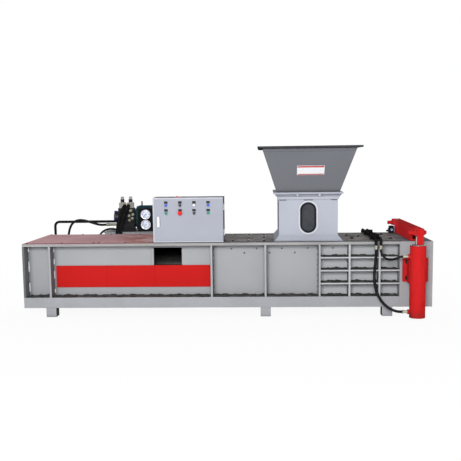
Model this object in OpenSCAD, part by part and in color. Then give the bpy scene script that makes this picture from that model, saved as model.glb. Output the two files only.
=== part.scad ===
// Briquetting machine: a ribbed press bed with a feed hopper, a lifting gate,
// a control cabinet and a hydraulic power pack. Lengths in millimetres.

/* [Bed] */
// Length of the bed over both ends
bed_len = 3680; // [3600:10:3800]
// Width of the bed over its ribs
bed_w = 880; // [840:2:940]
// Height of the deck above the floor
bed_h = 670; // [650:2:700]
// Height of the legs
leg_h = 84; // [70:1:100]
// Length of a leg along the bed
leg_len = 92; // [70:1:110]
// Height of the skid beams
skid_h = 96; // [84:1:110]
// Width of the skid beams and legs
skid_w = 100; // [80:1:110]
// Wall of the skid beams and legs
tube_t = 8; // [5:0.5:12]
// Depth of the recess between the ribs
rib_depth = 120; // [112:1:130]
// Thickness of the ribs
rib_t = 18; // [12:1:24]
// Thickness of the side walls
wall_t = 16; // [12:1:20]
// Thickness of the floor plate
floor_t = 16; // [12:1:24]
// Thickness of the deck
deck_t = 25; // [20:1:30]
// Thickness of the left end plate
end_t = 20; // [16:1:30]

/* [Bays] */
// Left end to the middle of the first rib
first_bay = 248; // [235:1:270]
// Length of the bay that holds the main cylinder
cylinder_bay = 1469; // [1450:1:1480]
// Pitch of the ribs along the feed
feed_bay = 483; // [470:1:490]
// Pitch of the ribs along the pressing chamber
chamber_bay = 265; // [250:1:275]
// Length of the gate posts along the bed
post_len = 290; // [270:2:300]
// Right end of the bed to the middle of the gate
gate_set = 155; // [145:1:160]
// Right end of the bed to the middle of the last legs
last_leg_set = 396; // [370:2:420]
// Rows of bars across the chamber ribs
bar_rows = 3; // [2:1:4]
// Length of the covers over the main cylinder
cover_len = 1178; // [1100:2:1190]
// Thickness of the covers
cover_t = 4; // [3:0.5:6]
// Height of the red side panel
panel_h = 200; // [150:2:210]
// Floor plate to the lower edge of the red side panel
panel_lift = 76; // [40:1:80]
// Thickness of the red side panel
panel_t = 6; // [4:1:10]
// Length of the service window
window_len = 256; // [200:2:280]
// Height of the service window
window_h = 158; // [120:2:160]
// Left end to the middle of the service window
window_x = 1311; // [1200:1:1400]

/* [Main cylinder and ram] */
// Stroke of the ram
ram_stroke = 1180; // [1000:10:1185]
// Outside diameter of the main cylinder
barrel_d = 194; // [180:1:220]
// Bore of the main cylinder
barrel_bore = 160; // [140:1:165]
// Diameter of the main rod
main_rod_d = 110; // [90:1:120]
// Length of the ram
ram_len = 560; // [540:5:570]
// Thickness of the ram's pressing face
ram_face_t = 40; // [30:1:60]
// Thickness of the ram's other plates
ram_plate_t = 20; // [14:1:30]
// Diameter of the ram pin
ram_pin_d = 60; // [50:1:70]

/* [Gate and lift] */
// Thickness of the gate
gate_t = 44; // [36:1:48]
// Depth of the guide grooves in the posts
guide_depth = 40; // [30:1:50]
// Outside diameter of the lift cylinders
lift_d = 138; // [130:1:150]
// Bore of the lift cylinders
lift_bore = 110; // [100:1:116]
// Diameter of the lift rods
lift_rod_d = 56; // [45:1:60]
// Length of the lift barrels
lift_len = 633; // [605:1:640]
// Floor to the foot of the lift barrels
lift_foot = 12; // [5:1:16]
// Side of the bed to the lift axis
lift_out = 120; // [110:1:140]
// Height of the crosshead
beam_h = 122; // [100:1:140]
// Width of the crosshead over its plates
beam_w = 80; // [76:1:100]
// Thickness of the crosshead's plates
beam_t = 16; // [12:1:17]
// Diameter of the crosshead pins
cross_pin_d = 35; // [28:1:40]
// Width of the lift brackets
bracket_w = 224; // [200:2:250]
// Height of the lift brackets
bracket_h = 210; // [180:2:240]
// Floor to the lower edge of the lift brackets
bracket_lift = 312; // [260:2:340]
// Thickness of the lift brackets
bracket_t = 15; // [12:1:20]

/* [Feed throat and hopper] */
// Left end to the middle of the throat
feed_x = 2588; // [2580:1:2600]
// Outside length of the throat along the bed
throat_w = 530; // [500:2:560]
// Outside width of the throat across the bed
throat_d = 650; // [620:2:680]
// Height of the throat
throat_h = 430; // [400:2:460]
// Wall of the throat
throat_t = 5; // [4:0.5:8]
// Width of the throat's flanges
flange_w = 45; // [30:1:50]
// Thickness of the throat's flanges
flange_t = 8; // [6:1:12]
// Width of the sight window
sight_w = 146; // [120:1:160]
// Height of the sight window
sight_h = 276; // [240:1:290]
// Length of the hopper's foot along the bed
hopper_foot_w = 556; // [540:2:570]
// Width of the hopper's foot across the bed
hopper_foot_d = 670; // [660:2:680]
// Length of the hopper's mouth along the bed
hopper_top_w = 824; // [760:2:900]
// Width of the hopper's mouth across the bed
hopper_top_d = 1200; // [1100:5:1240]
// Height of the hopper
hopper_h = 415; // [380:1:450]
// Wall of the hopper
hopper_t = 6; // [4:0.5:8]
// Width of the hopper's rim
rim_w = 38; // [25:1:50]
// Height of the rim's lip
rim_lip = 16; // [12:1:45]

/* [Control cabinet] */
// Left end to the left side of the cabinet
cab_x = 1196; // [1194:1:1210]
// Width of the cabinet
cab_w = 630; // [600:2:640]
// Height of the cabinet
cab_h = 400; // [380:1:440]
// Depth of the cabinet's case
cab_d = 236; // [200:1:260]
// Sheet of the cabinet
cab_t = 2; // [1.5:0.1:3]
// Height of the rails under the cabinet
cab_foot = 4; // [3:0.5:8]
// Front of the bed to the front of the door
cab_set = 24; // [15:1:40]
// Depth of the door
door_d = 22; // [18:1:28]
// Spacing of the control columns
column_pitch = 126; // [110:1:130]
// Spacing of the control rows
row_pitch = 70; // [64:1:80]
// Diameter of the push buttons
button_d = 23; // [20:1:26]
// Diameter of the emergency stop's head
stop_d = 40; // [36:1:46]
// Travel of the push buttons
button_travel = 4; // [3:0.5:5]
// Length of the door handle
handle_len = 98; // [80:1:110]

/* [Power pack] */
// Left end to the left side of the tank
tank_x = 560; // [555:1:580]
// Length of the tank
tank_len = 900; // [880:5:1000]
// Width of the tank
tank_d = 440; // [430:5:500]
// Height of the tank's top above the floor
tank_top = 680; // [660:2:684]
// Height of the tank's feet
tank_foot = 60; // [40:1:90]
// Wall of the tank
tank_t = 5; // [4:0.5:8]
// Thickness of the tank's lid
lid_t = 8; // [6:1:12]
// Rear side of the bed to the tank
tank_gap = 90; // [85:1:120]
// Height of the motor's shaft above the lid
motor_h = 132; // [130:1:140]
// Diameter of the motor over its fins
motor_d = 256; // [240:2:260]
// Length of the motor's finned body
motor_len = 300; // [280:2:340]
// Length of the bell housing
bell_len = 75; // [70:1:90]
// Length of the pump
pump_len = 140; // [110:2:144]
// Length of the valve block
block_len = 168; // [150:1:170]
// Depth of the valve block
block_d = 65; // [55:1:70]
// Height of the valve block
block_h = 242; // [235:1:260]
// Width of the gauge panel
board_w = 160; // [140:2:180]
// Height of the gauge panel
board_h = 237; // [225:1:250]
// Diameter of the gauges
gauge_d = 98; // [70:1:104]
// Diameter of the relief knobs
knob_d = 34; // [28:1:40]
// Outside diameter of the long pipes
line_d = 20; // [16:1:22]
// Outside diameter of the main pipe and the deck pipes
main_line_d = 26; // [22:1:28]

/* [Hidden] */
$fn = 48;

// Running fit on a radius, clearance between pieces, and overrun of cuts
fit = 0.05;
gap = 0.3;
over = 2;

// Bed
half = bed_w / 2;
floor_z = leg_h + skid_h;
roof_z = bed_h - deck_t;
mid_z = (floor_z + roof_z) / 2;
wall_y = half - rib_depth;
in_y = wall_y - wall_t;
post_x = bed_len - post_len;
gate_x = bed_len - gate_set;
rib_x = [
    first_bay,
    first_bay + cylinder_bay,
    first_bay + cylinder_bay + feed_bay,
    first_bay + cylinder_bay + 2 * feed_bay
];
chamber_ribs = floor((post_x - rib_t - rib_x[3]) / chamber_bay);
chamber_x = [for (i = [1 : 1 : chamber_ribs]) rib_x[3] + i * chamber_bay];
leg_x = [rib_x[0], rib_x[2], bed_len - last_leg_set];
bar_t = 14;
cover_x = 12;
cover_inset = 2;
cover_seam = 3;
cover_split_share = 0.56;
roof_x = cover_x + cover_len + cover_seam;
panel_set = 20;
panel_z = floor_z + panel_lift;
window_z = panel_z + panel_h + cover_t;
collar_w = 18;
collar_out = 10;

// Feed
feed_x0 = feed_x - throat_w / 2 + throat_t;
feed_x1 = feed_x + throat_w / 2 - throat_t;
throat_top = bed_h + throat_h;
flare_in = 4;
flare_low_h = 58;
flare_up_h = 60;
band_h = 26;
band_drop = 30;
band_out = 8;
sight_share = 0.49;
sight_z = bed_h + throat_h * sight_share;
sight_frame_w = 16;
sight_frame_out = 6;
sight_seal = 17;
sight_seal_out = 5;
sight_pane_in = 2;
rim_t = 6;
hopper_top = throat_top + hopper_h;

// Main cylinder and ram
ram_setback = 15;
ram_face_x = feed_x0 - ram_setback;
ram_back_x = ram_face_x - ram_len;
ram_side_gap = 2;
ram_skirt = 110;
ram_lug_len = 130;
ram_lug_t = 32;
ram_lug_h = 150;
ram_pin_x = ram_face_x - ram_face_t - ram_lug_len / 2;
rod_eye_w = 114;
rod_show = 120;
barrel_x = ram_back_x - rod_show;
cap_flange_t = 25;
cap_flange_w = 300;
cap_t = 45;
piston_t = 80;
gland_len = 70;
gland_d = 240;
gland_flange_t = 36;
cradle_t = 30;
cradle_w = 260;
cradle_back = 150;
boss_d = 42;
boss_out = 24;
port_a_x = 140;
port_b_x = 196;
port_c_x = barrel_x - gland_len - boss_d;
line_c_x = 490;
port_y = barrel_d / 2 + boss_out;

// Gate and lift
lift_y = half + lift_out;
beam_gap = 2;
beam_z = bed_h + beam_gap;
beam_top = beam_z + beam_h;
beam_in = 15;
notch_share = 0.52;
notch_z = beam_z + beam_h * notch_share;
lug_r = 45;
strap_drop = 16;
strap_t = 10;
strap_w = 58;
strap_set = 20;
pin_z = beam_top - cross_pin_d;
pin_left = 88;
pin_right = 66;
pin_head_d = 50;
pin_head_t = 10;
eye_r = 32;
eye_neck = 36;
eye_side_gap = 2;
lift_cap_t = 35;
lift_top = lift_foot + lift_len;
lift_piston_t = 50;
lift_gland_h = 6;
lift_gland_in = 30;
lift_gland_inset = 10;
lift_gland_d = lift_d - lift_gland_inset;
lift_port_up = 95;
lift_port_low = 50;
saddle_w = 6;
lift_boss_out = 16;
lifting_ring_r = 13;
lifting_ring_t = 12;
lifting_hole_d = 12;

// Control cabinet
cab_z = bed_h + cab_foot;
door_y = -half + cab_set;
door_gap = 1.5;
case_y = door_y + door_d + door_gap;
lip_w = 18;
rail_w = 30;
hinge_out = 8;
hinge_r = 6;
hinge_pin_r = 3;
hinge_h = 54;
hinge_inset = 60;
leaf_t = 4;
leaf_len = 34;
column_shift = 7;
column_x = cab_x + cab_w / 2 - 1.5 * column_pitch - column_shift;
row_drop = 67;
row_z = cab_z + cab_h - row_drop;
collar_d = 30;
collar_h = 5;
cap_show = 6;
stem_in = 16;
contact_w = 30;
contact_h = 42;
contact_d = 34;
stop_show = 22;
stop_neck_d = 26;
selector_d = 24;
selector_show = 8;
fin_w = 8;
fin_h = 12;
stem_r = button_d / 2;
handle_in = 49;
handle_x = cab_x + handle_in;
handle_w = 22;
handle_t = 9;
handle_plate_t = 3;
handle_plate_rim = 3;
handle_pivot_d = 16;
handle_z = cab_z + cab_h / 2 + handle_len / 4;
plate_inset = 40;
plate_t = 3;
plate_off = 10;
standoff_d = 12;
lamp_d = 26;
lamp_h = 13;
lamp_share = 0.34;
lamp_x = cab_x + cab_w * lamp_share;
lamp_base_h = 3;

// Power pack
tank_y = half + tank_gap;
lid_over = 10;
lid_top = tank_top + lid_t;
shaft_shift = 30;
shaft_y = tank_y + tank_d / 2 - shaft_shift;
shaft_z = lid_top + motor_h;
block_set = 140;
block_x = tank_x + block_set;
seat_inset = 6;
block_y = tank_y + lid_over + seat_inset;
block_top = lid_top + block_h;
bell_lap = 73;
bell_x = block_x + block_len - bell_lap;
motor_x = bell_x + bell_len;
pump_x = bell_x - pump_len;
fin_depth = 14;
fin_t = 4;
fin_count = 40;
shield_t = 22;
shield_d = motor_d - fin_depth;
foot_w = 60;
foot_t = 16;
cowl_len = 96;
cowl_t = 3;
cowl_d = motor_d - fin_depth / 2;
cowl_slot_w = 10;
cowl_slots = 16;
cowl_hub_d = 70;
cowl_rim = 16;
shaft_d = 38;
fan_d = 196;
fan_t = 6;
fan_blade_h = 32;
fan_hub_d = 64;
coupling_d = 92;
coupling_t = 24;
bell_d = 200;
bell_t = 12;
bell_window_h = 60;
pump_d = 120;
pump_neck_d = 100;
pump_cover_t = 26;
term_w = 120;
term_d = 60;
term_h = 90;
ring_r = 22;
ring_t = 8;
ring_set = 50;
ring_x = motor_x + ring_set;
valve_count = 2;
valve_w = 62;
valve_body_h = 56;
coil_d = 40;
coil_h = 34;
plug_w = 28;
plug_h = 26;
plug_d = 34;
port_plug_d = 62;
port_plug_t = 22;
port_plug_x_share = 0.81;
port_plug_z_share = 0.277;
union_shares = [[0.79, 0.9], [0.91, 0.735], [0.69, 0.68], [0.875, 0.57], [0.7, 0.49]];
union_d = 22;
union_len = 30;
knob_len = 30;
knob_stem_d = 18;
knob_stem = 14;
knob_up_share = 0.816;
knob_up_z = lid_top + block_h * knob_up_share;
knob_low_share = 0.556;
knob_low_z = lid_top + block_h * knob_low_share;
board_set = 30;
board_x = motor_x + board_set;
board_in = 20;
board_y = tank_y + lid_over + board_in;
board_t = 4;
board_foot = 30;
gauge_depth = 32;
gauge_rim = 5;
gauge_back = 10;
gauge_share = 0.786;
gauge_x = board_x + board_w - gauge_d * gauge_share;
gauge_up_share = 0.738;
gauge_up_z = lid_top + board_h * gauge_up_share;
gauge_seam = 5;
gauge_low_z = gauge_up_z - gauge_d - gauge_seam;
needle_len = 34;
needle_w = 4;
needle_t = 1.5;
needle_hub_d = 10;
needle_off = 6;
needle_pin_d = 4;
filler_in = 110;
filler_x = tank_x + tank_len - filler_in;
filler_y = tank_y + tank_d - filler_in;
filler_d = 80;
filler_h = 62;
filler_neck_d = 50;
hatch_d = 300;
hatch_t = 12;
hatch_bolt_d = 14;
hatch_bolts = 8;
sight_gauge_w = 30;
sight_gauge_h = 180;
sight_gauge_t = 14;
suction_d = 44;
press_d = 30;

// Pipes
line_r = 31;
main_line_r = 45;
main_line_y = block_y + block_d / 4;
main_line_share = 0.438;
main_line_z = lid_top + block_h * main_line_share;
main_drop_x = 40;
run_up_out = 26;
run_up_y = half + run_up_out;
run_low_out = 57;
run_low_y = half + run_low_out;
run_up_z = lift_top - lift_port_up;
run_low_z = run_up_z - 2 * line_d;
lift_low_z = lift_foot + lift_port_low;
bend_set = 195;
bend_up_x = gate_x - bend_set;
bend_step = 60;
bend_low_x = bend_up_x - bend_step;
deck_set = 173;
deck_up_x = post_x - deck_set;
deck_step = 42;
deck_low_x = deck_up_x - deck_step;
deck_line_z = bed_h + main_line_d;
deck_out = 32;
deck_front = half + deck_out;
deck_end_z = bed_h - 1.2 * main_line_d;
tee_w = 36;
drop_up_share = 0.667;
drop_up_x = block_x + block_len * drop_up_share;
drop_low_share = 0.429;
drop_low_x = block_x + block_len * drop_low_share;
drop_lift = 26;
drop_z = block_top + drop_lift;
drop_d = 34;
drop_step = 80;
header_t = 14;
header_h = 42;
header_over = 30;
drop_reach = 70;
drop_rings = 10;
drop_end = 20;
drop_end_z = bed_h - drop_end;
inner_line_y = barrel_d / 2 + 4 * line_d;
clamp_w = 30;
clamp_rim = 8;
nut_d = 46;
nut_h = 10;
stub_d = 30;
stub_out = 60;
stub_b_len = 125;
hose_b_x = block_x - stub_b_len;
stub_b_share = 0.306;
stub_b_z = lid_top + block_h * stub_b_share;
stub_c_share = 0.079;
stub_c_z = lid_top + block_h * stub_c_share;
stub_c_len = 22;
ferrule_len = 34;
ferrule_d = 26;
front_tip_z = deck_end_z - ferrule_len;
port_tip_x = gate_x - lift_d / 2 - lift_boss_out - 1.3 * ferrule_len;

// Middle of the footprint, which is the origin
rim_front = hopper_top_d / 2 + rim_w;
tank_back = tank_y + tank_d + lid_over;
shift_y = (rim_front - tank_back) / 2;

// Hose routes, from the left end, the middle line and the floor
hose_d = 24;
small_hose_d = 20;
front_hose_d = 25;
hose_sides = 10;
main_hose_route = [
    [575, 562, 762], [533.9, 555.9, 759.9], [494.5, 543.5, 765.1],
    [456.2, 532.1, 777], [417.6, 524.6, 790.8], [378, 520.2, 803.3],
    [337.3, 517.5, 811.6], [295.7, 515.8, 812], [256.4, 514.3, 799],
    [225.9, 512.5, 771], [206.6, 510.5, 734.2], [195.4, 508.2, 694.2],
    [189.5, 505.4, 653], [187.5, 501.7, 611.5], [188.3, 496.2, 570.2],
    [191.2, 487.5, 529.5], [195.1, 473.2, 490.6], [198.4, 450.2, 456.1],
    [199, 417.9, 429.9], [196, 380, 413]
];
return_hose_route = [
    [678, 562, 707], [647.7, 560.9, 715.4], [616.6, 556.8, 718.3],
    [585.9, 550.4, 714.7], [557.4, 542.3, 704.2], [532.6, 533.5, 686.9],
    [513, 524.7, 663.9], [499, 516.4, 636.9], [490.2, 508.5, 607.7],
    [485.5, 500.9, 577.4], [484.2, 492.9, 547], [485.4, 483.8, 516.8],
    [488.2, 472.6, 487.4], [491.7, 457.7, 459.9], [494.4, 437.2, 436.2],
    [494.2, 410.4, 419.9], [490, 380, 413]
];
upper_hose_route = [
    [3217, -472, 605], [3218.4, -473.1, 587.8], [3222.5, -476.2, 571.2],
    [3229.1, -481.4, 556.1], [3237.8, -488.4, 542.9], [3248.5, -496.9, 532.2],
    [3260.6, -506.6, 524.6], [3273.9, -516.9, 520.2], [3287.7, -527.2, 518.8],
    [3302, -536.9, 520.3], [3316.5, -545.6, 524.2], [3331.2, -552.7, 529.9],
    [3346.4, -557.8, 536.7], [3362.2, -560.3, 543.4], [3378.8, -560.5, 548.3],
    [3396, -560, 550]
];
lower_hose_route = [
    [3175, -472, 605], [3176.2, -473.4, 569.3], [3174.4, -476, 533.6],
    [3170.8, -479.4, 498.2], [3166.6, -483.7, 462.9], [3162.6, -488.7, 427.7],
    [3159.6, -494.3, 392.5], [3158.3, -500.4, 357.3], [3159.4, -506.8, 322.1],
    [3163.4, -513.4, 287.1], [3170.7, -520.2, 252.8], [3181.5, -526.9, 219.4],
    [3196.2, -533.5, 187.4], [3214.8, -539.6, 157.5], [3237.3, -545.3, 130.3],
    [3263.5, -550.3, 106.5], [3293.2, -554.4, 86.9], [3325.7, -557.5, 72.4],
    [3360.3, -559.4, 63.9], [3396, -560, 62]
];

// Puts the machine's middle on the origin
module in_frame() translate([-bed_len / 2, shift_y, 0]) children();

// Box between two opposite corners
module block(a, b) translate(a) cube(b - a);

// The same on the front and the rear of the middle line
module both_sides() {
    children();
    mirror([0, 1, 0]) children();
}

// Round bars along each axis, from a middle of one end
module bar_x(p, d, l) translate(p) rotate([0, 90, 0]) cylinder(d = d, h = l);
module bar_y(p, d, l) translate(p) rotate([-90, 0, 0]) cylinder(d = d, h = l);
module bar_z(p, d, l) translate(p) cylinder(d = d, h = l);

// Revolved profile whose axis points along +X or along -Y
module turned_x(p) translate(p) rotate([0, 90, 0]) rotate_extrude() children();
module turned_front(p) translate(p) rotate([90, 0, 0]) rotate_extrude() children();

// Slot with round ends, drawn in the plane and centred
module slot(w, h) {
    square([w, h - w], center = true);
    translate([0, (h - w) / 2]) circle(d = w);
    translate([0, (w - h) / 2]) circle(d = w);
}

// Upright plate drawn in X and Z, from a front face backwards
module plate_xz(p, t) translate(p) rotate([90, 0, 0]) translate([0, 0, -t]) linear_extrude(t) children();

// Pipe with round bends along its corner points
function unit(v) = v / norm(v);
function bend_angle(a, b, c) = acos(max(-1, min(1, unit(b - a) * unit(c - b))));
function bend_cut(p, i, r) =
    i == 0 || i == len(p) - 1 ? 0 : r * tan(bend_angle(p[i - 1], p[i], p[i + 1]) / 2);

module straight(a, b, d) {
    v = b - a;
    translate(a) rotate([0, acos(v[2] / norm(v)), atan2(v[1], v[0])]) cylinder(d = d, h = norm(v));
}

module elbow(a, b, c, d, r) {
    u = unit(b - a);
    v = unit(c - b);
    turn = bend_angle(a, b, c);
    n = unit(v - (v * u) * u);
    start = b - u * r * tan(turn / 2);
    mid = start + n * r;
    w = cross(-n, u);
    multmatrix([
        [-n[0], u[0], w[0], mid[0]],
        [-n[1], u[1], w[1], mid[1]],
        [-n[2], u[2], w[2], mid[2]],
        [0, 0, 0, 1]
    ]) rotate_extrude(angle = turn) translate([r, 0]) circle(d = d);
}

module pipe(p, d, r) {
    for (i = [0 : len(p) - 2]) {
        u = unit(p[i + 1] - p[i]);
        straight(p[i] + u * bend_cut(p, i, r), p[i + 1] - u * bend_cut(p, i + 1, r), d);
    }
    for (i = [1 : len(p) - 2]) elbow(p[i - 1], p[i], p[i + 1], d, r);
}

// Hose swept along its route as one solid
function route_dir(p, i) = unit(p[min(i + 1, len(p) - 1)] - p[max(i - 1, 0)]);
function route_side(p, i, first) =
    i == 0 ? unit(first - (first * route_dir(p, 0)) * route_dir(p, 0))
    : let (prev = route_side(p, i - 1, first)) unit(prev - (prev * route_dir(p, i)) * route_dir(p, i));

module hose(p, d, first) {
    n = hose_sides;
    rings = len(p);
    points = [
        for (i = [0 : rings - 1])
        let (s = route_side(p, i, first), c = cross(route_dir(p, i), s))
        for (k = [0 : n - 1]) p[i] + (s * cos(360 * k / n) + c * sin(360 * k / n)) * d / 2
    ];
    walls = [
        for (i = [0 : rings - 2])
        for (k = [0 : n - 1])
        let (a = i * n + k, b = i * n + (k + 1) % n)
        each [[a, a + n, b], [b, a + n, b + n]]
    ];
    ends = [[for (k = [0 : n - 1]) k], [for (k = [0 : n - 1]) rings * n - 1 - k]];
    polyhedron(points, concat(walls, ends));
}

// Bed

module wall_sheet() block([end_t, -wall_y, floor_z], [post_x, -in_y, roof_z]);

module front_wall() color("silver") difference() {
    union() {
        wall_sheet();
        block([window_x - window_len / 2 - collar_w, -wall_y - collar_out, window_z],
              [window_x, -in_y, window_z + window_h]);
    }
    block([window_x - window_len / 2, -wall_y - collar_out - over, window_z],
          [window_x + window_len / 2, -in_y + over, window_z + window_h]);
}

module rear_wall() color("silver") difference() {
    mirror([0, 1, 0]) wall_sheet();
    for (x = [port_a_x, port_b_x, line_c_x])
        bar_y([x, in_y - over, mid_z], stub_d + 2 * gap, wall_t + 2 * over);
}

module floor_plate() color("silver")
    block([0, -half + skid_w, floor_z - floor_t], [post_x, half - skid_w, floor_z]);

module end_plate() color("silver") block([0, -half, floor_z], [end_t, half, roof_z]);

module top_flanges() color("gainsboro") both_sides()
    block([0, -half, roof_z], [post_x, -in_y, bed_h]);

module roof_plates() color("gray") {
    block([roof_x, -in_y, roof_z], [feed_x0, in_y, bed_h]);
    block([feed_x1, -in_y, roof_z], [post_x, in_y, bed_h]);
}

// Upright ribs, and short bars that close the chamber bays into cells
module ribs() color("silver") both_sides() {
    for (x = concat(rib_x, chamber_x))
        block([x - rib_t / 2, -half, floor_z], [x + rib_t / 2, -wall_y, roof_z]);
    edges = concat(rib_x[3], chamber_x, post_x + rib_t / 2);
    cells = [for (i = [0 : len(edges) - 2]) [edges[i] + rib_t / 2, edges[i + 1] - rib_t / 2]];
    for (c = cells)
        for (i = [1 : bar_rows]) {
            z = floor_z + (roof_z - floor_z) * i / (bar_rows + 1);
            block([c[0] + gap, -half, z - bar_t / 2], [c[1] - gap, -wall_y, z + bar_t / 2]);
        }
}

module skids() color("silver") both_sides() difference() {
    block([0, -half, leg_h], [post_x, -half + skid_w, floor_z]);
    block([-over, -half + tube_t, leg_h + tube_t],
        [post_x + over, -half + skid_w - tube_t, floor_z - tube_t]);
}

module legs() color("silver") both_sides() for (x = leg_x) difference() {
    block([x - leg_len / 2, -half, 0], [x + leg_len / 2, -half + skid_w, leg_h]);
    block([x - leg_len / 2 + tube_t, -half + tube_t, tube_t],
          [x + leg_len / 2 - tube_t, -half + skid_w - tube_t, leg_h + over]);
}

// Posts with the guide grooves in which the gate slides
module gate_posts() color("darkgray") both_sides() difference() {
    block([post_x, -half, leg_h], [bed_len, -in_y, bed_h]);
    block([gate_x - gate_t / 2 - gap, -in_y - guide_depth, floor_z],
          [gate_x + gate_t / 2 + gap, -in_y + over, bed_h + over]);
}

module gate_crossbars() color("darkgray") {
    block([post_x, -in_y, leg_h], [bed_len, in_y, floor_z]);
    block([post_x, -in_y, roof_z], [gate_x - gate_t / 2 - gap, in_y, bed_h]);
    block([gate_x + gate_t / 2 + gap, -in_y, roof_z], [bed_len, in_y, bed_h]);
}

module deck_covers() color("rosybrown") {
    split = cover_len * cover_split_share;
    block([cover_x, -half + cover_inset, bed_h], [cover_x + split, half - cover_inset, bed_h + cover_t]);
    block([cover_x + split + cover_seam, -half + cover_inset, bed_h],
          [cover_x + cover_len, half - cover_inset, bed_h + cover_t]);
}

module side_panel() color("firebrick")
    block([rib_x[0] + rib_t / 2 + panel_set, -wall_y - panel_t, panel_z],
          [rib_x[1] - rib_t / 2 - gap, -wall_y, panel_z + panel_h]);

// Main cylinder and ram

module main_barrel() color("dimgray") difference() {
    union() {
        block([end_t, -cap_flange_w / 2, mid_z - cap_flange_w / 2],
              [end_t + cap_flange_t, cap_flange_w / 2, mid_z + cap_flange_w / 2]);
        bar_x([end_t, 0, mid_z], barrel_d, barrel_x - end_t);
        bar_x([barrel_x - gland_flange_t, 0, mid_z], gland_d, gland_flange_t);
        block([barrel_x - cradle_back - cradle_t, -cradle_w / 2, floor_z],
              [barrel_x - cradle_back, cradle_w / 2, mid_z]);
        for (x = [port_a_x, port_b_x, port_c_x]) bar_y([x, 0, mid_z], boss_d, port_y);
    }
    bar_x([end_t + cap_t, 0, mid_z], barrel_bore, barrel_x - gland_len - end_t - cap_t);
    bar_x([end_t + cap_t, 0, mid_z], main_rod_d + 2 * fit, barrel_x);
}

module main_rod() color("lightgray") {
    x0 = end_t + cap_t + gap;
    difference() {
        union() {
            bar_x([x0, 0, mid_z], barrel_bore - 2 * fit, piston_t);
            bar_x([x0, 0, mid_z], main_rod_d, ram_pin_x - x0);
            bar_y([ram_pin_x, -rod_eye_w / 2, mid_z], main_rod_d, rod_eye_w);
        }
        bar_y([ram_pin_x, -main_rod_d, mid_z], ram_pin_d + 2 * fit, 2 * main_rod_d);
    }
}

// Welded box with an open back, a skirt behind its top and two lugs for the rod
module ram() color("slategray") difference() {
    union() {
        difference() {
            block([ram_back_x, -in_y + ram_side_gap, floor_z + gap],
                [ram_face_x, in_y - ram_side_gap, roof_z - gap]);
            block([ram_back_x - over, -in_y + ram_side_gap + ram_plate_t, floor_z + gap + ram_plate_t],
                  [ram_face_x - ram_face_t, in_y - ram_side_gap - ram_plate_t, roof_z - gap - ram_plate_t]);
        }
        block([ram_back_x - ram_skirt, -in_y + ram_side_gap, roof_z - gap - ram_plate_t],
              [ram_back_x + over, in_y - ram_side_gap, roof_z - gap]);
        for (s = [-1, 1])
            translate([0, s * (rod_eye_w / 2 + gap + ram_lug_t / 2), 0])
                block([ram_face_x - ram_face_t - ram_lug_len, -ram_lug_t / 2, mid_z - ram_lug_h / 2],
                      [ram_face_x - ram_face_t + over, ram_lug_t / 2, mid_z + ram_lug_h / 2]);
    }
    bar_y([ram_pin_x, -in_y, mid_z], ram_pin_d + 2 * fit, 2 * in_y);
}

module ram_pin() color("lightgray")
    bar_y([ram_pin_x, -rod_eye_w / 2 - ram_lug_t, mid_z], ram_pin_d, rod_eye_w + 2 * ram_lug_t);

// Gate and lift

module gate_plate() color("dimgray")
    block([gate_x - gate_t / 2, -in_y - guide_depth + gap, floor_z + gap],
          [gate_x + gate_t / 2, in_y + guide_depth - gap, beam_z]);

// Crosshead side plate, drawn in Y and Z, with its lower corners notched above the rods
module beam_outline(low_z, low_y) {
    polygon([
        [-lift_y - lug_r, beam_top], [-lift_y - lug_r, low_z], [-low_y, low_z], [-low_y, beam_z],
        [low_y, beam_z], [low_y, low_z], [lift_y + lug_r, low_z], [lift_y + lug_r, beam_top]
    ]);
}

module beam_plate(x, low_z, low_y) translate([x, 0, 0])
    rotate([90, 0, 90]) linear_extrude(beam_t) beam_outline(low_z, low_y);

module crosshead() color("firebrick") difference() {
    union() {
        beam_plate(gate_x - beam_w / 2, notch_z, half - beam_in);
        beam_plate(gate_x + beam_w / 2 - beam_t, notch_z, half - beam_in);
        both_sides() block([gate_x - strap_set, -lift_y - lug_r, bed_h - strap_drop],
                           [gate_x - strap_set + strap_w, -lift_y - lug_r + strap_t, beam_top]);
        block([gate_x - beam_w / 2, -half + beam_in, beam_z],
            [gate_x + beam_w / 2, half - beam_in, beam_z + beam_t]);
        block([gate_x - beam_w / 2, -half + beam_in, beam_top - beam_t],
              [gate_x + beam_w / 2, half - beam_in, beam_top]);
        translate([gate_x - lifting_ring_t / 2, 0, beam_top])
            rotate([0, 90, 0]) cylinder(r = lifting_ring_r, h = lifting_ring_t);
    }
    for (s = [-1, 1])
        bar_x([gate_x - beam_w, s * lift_y, pin_z], cross_pin_d + 2 * fit, 2 * beam_w);
    bar_x([gate_x - beam_w, 0, beam_top + lifting_hole_d / 4], lifting_hole_d / 2, 2 * beam_w);
}

module crosshead_pins() color("firebrick") both_sides() {
    bar_x([gate_x - pin_left, -lift_y, pin_z], cross_pin_d, pin_left + pin_right);
    bar_x([gate_x + beam_w / 2 + gap, -lift_y, pin_z], pin_head_d, pin_head_t);
    bar_x([gate_x - beam_w / 2 - gap - pin_head_t, -lift_y, pin_z], pin_head_d, pin_head_t);
}

module lift_barrels() color("firebrick") both_sides() difference() {
    union() {
        bar_z([gate_x, -lift_y, lift_foot], lift_d, lift_len);
        for (z = [run_up_z, lift_low_z])
            bar_x([gate_x - lift_d / 2 - lift_boss_out, -lift_y, z], boss_d, lift_d / 2 + lift_boss_out);
    }
    bar_z([gate_x, -lift_y, lift_foot + lift_cap_t], lift_bore, lift_len);
}

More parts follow.
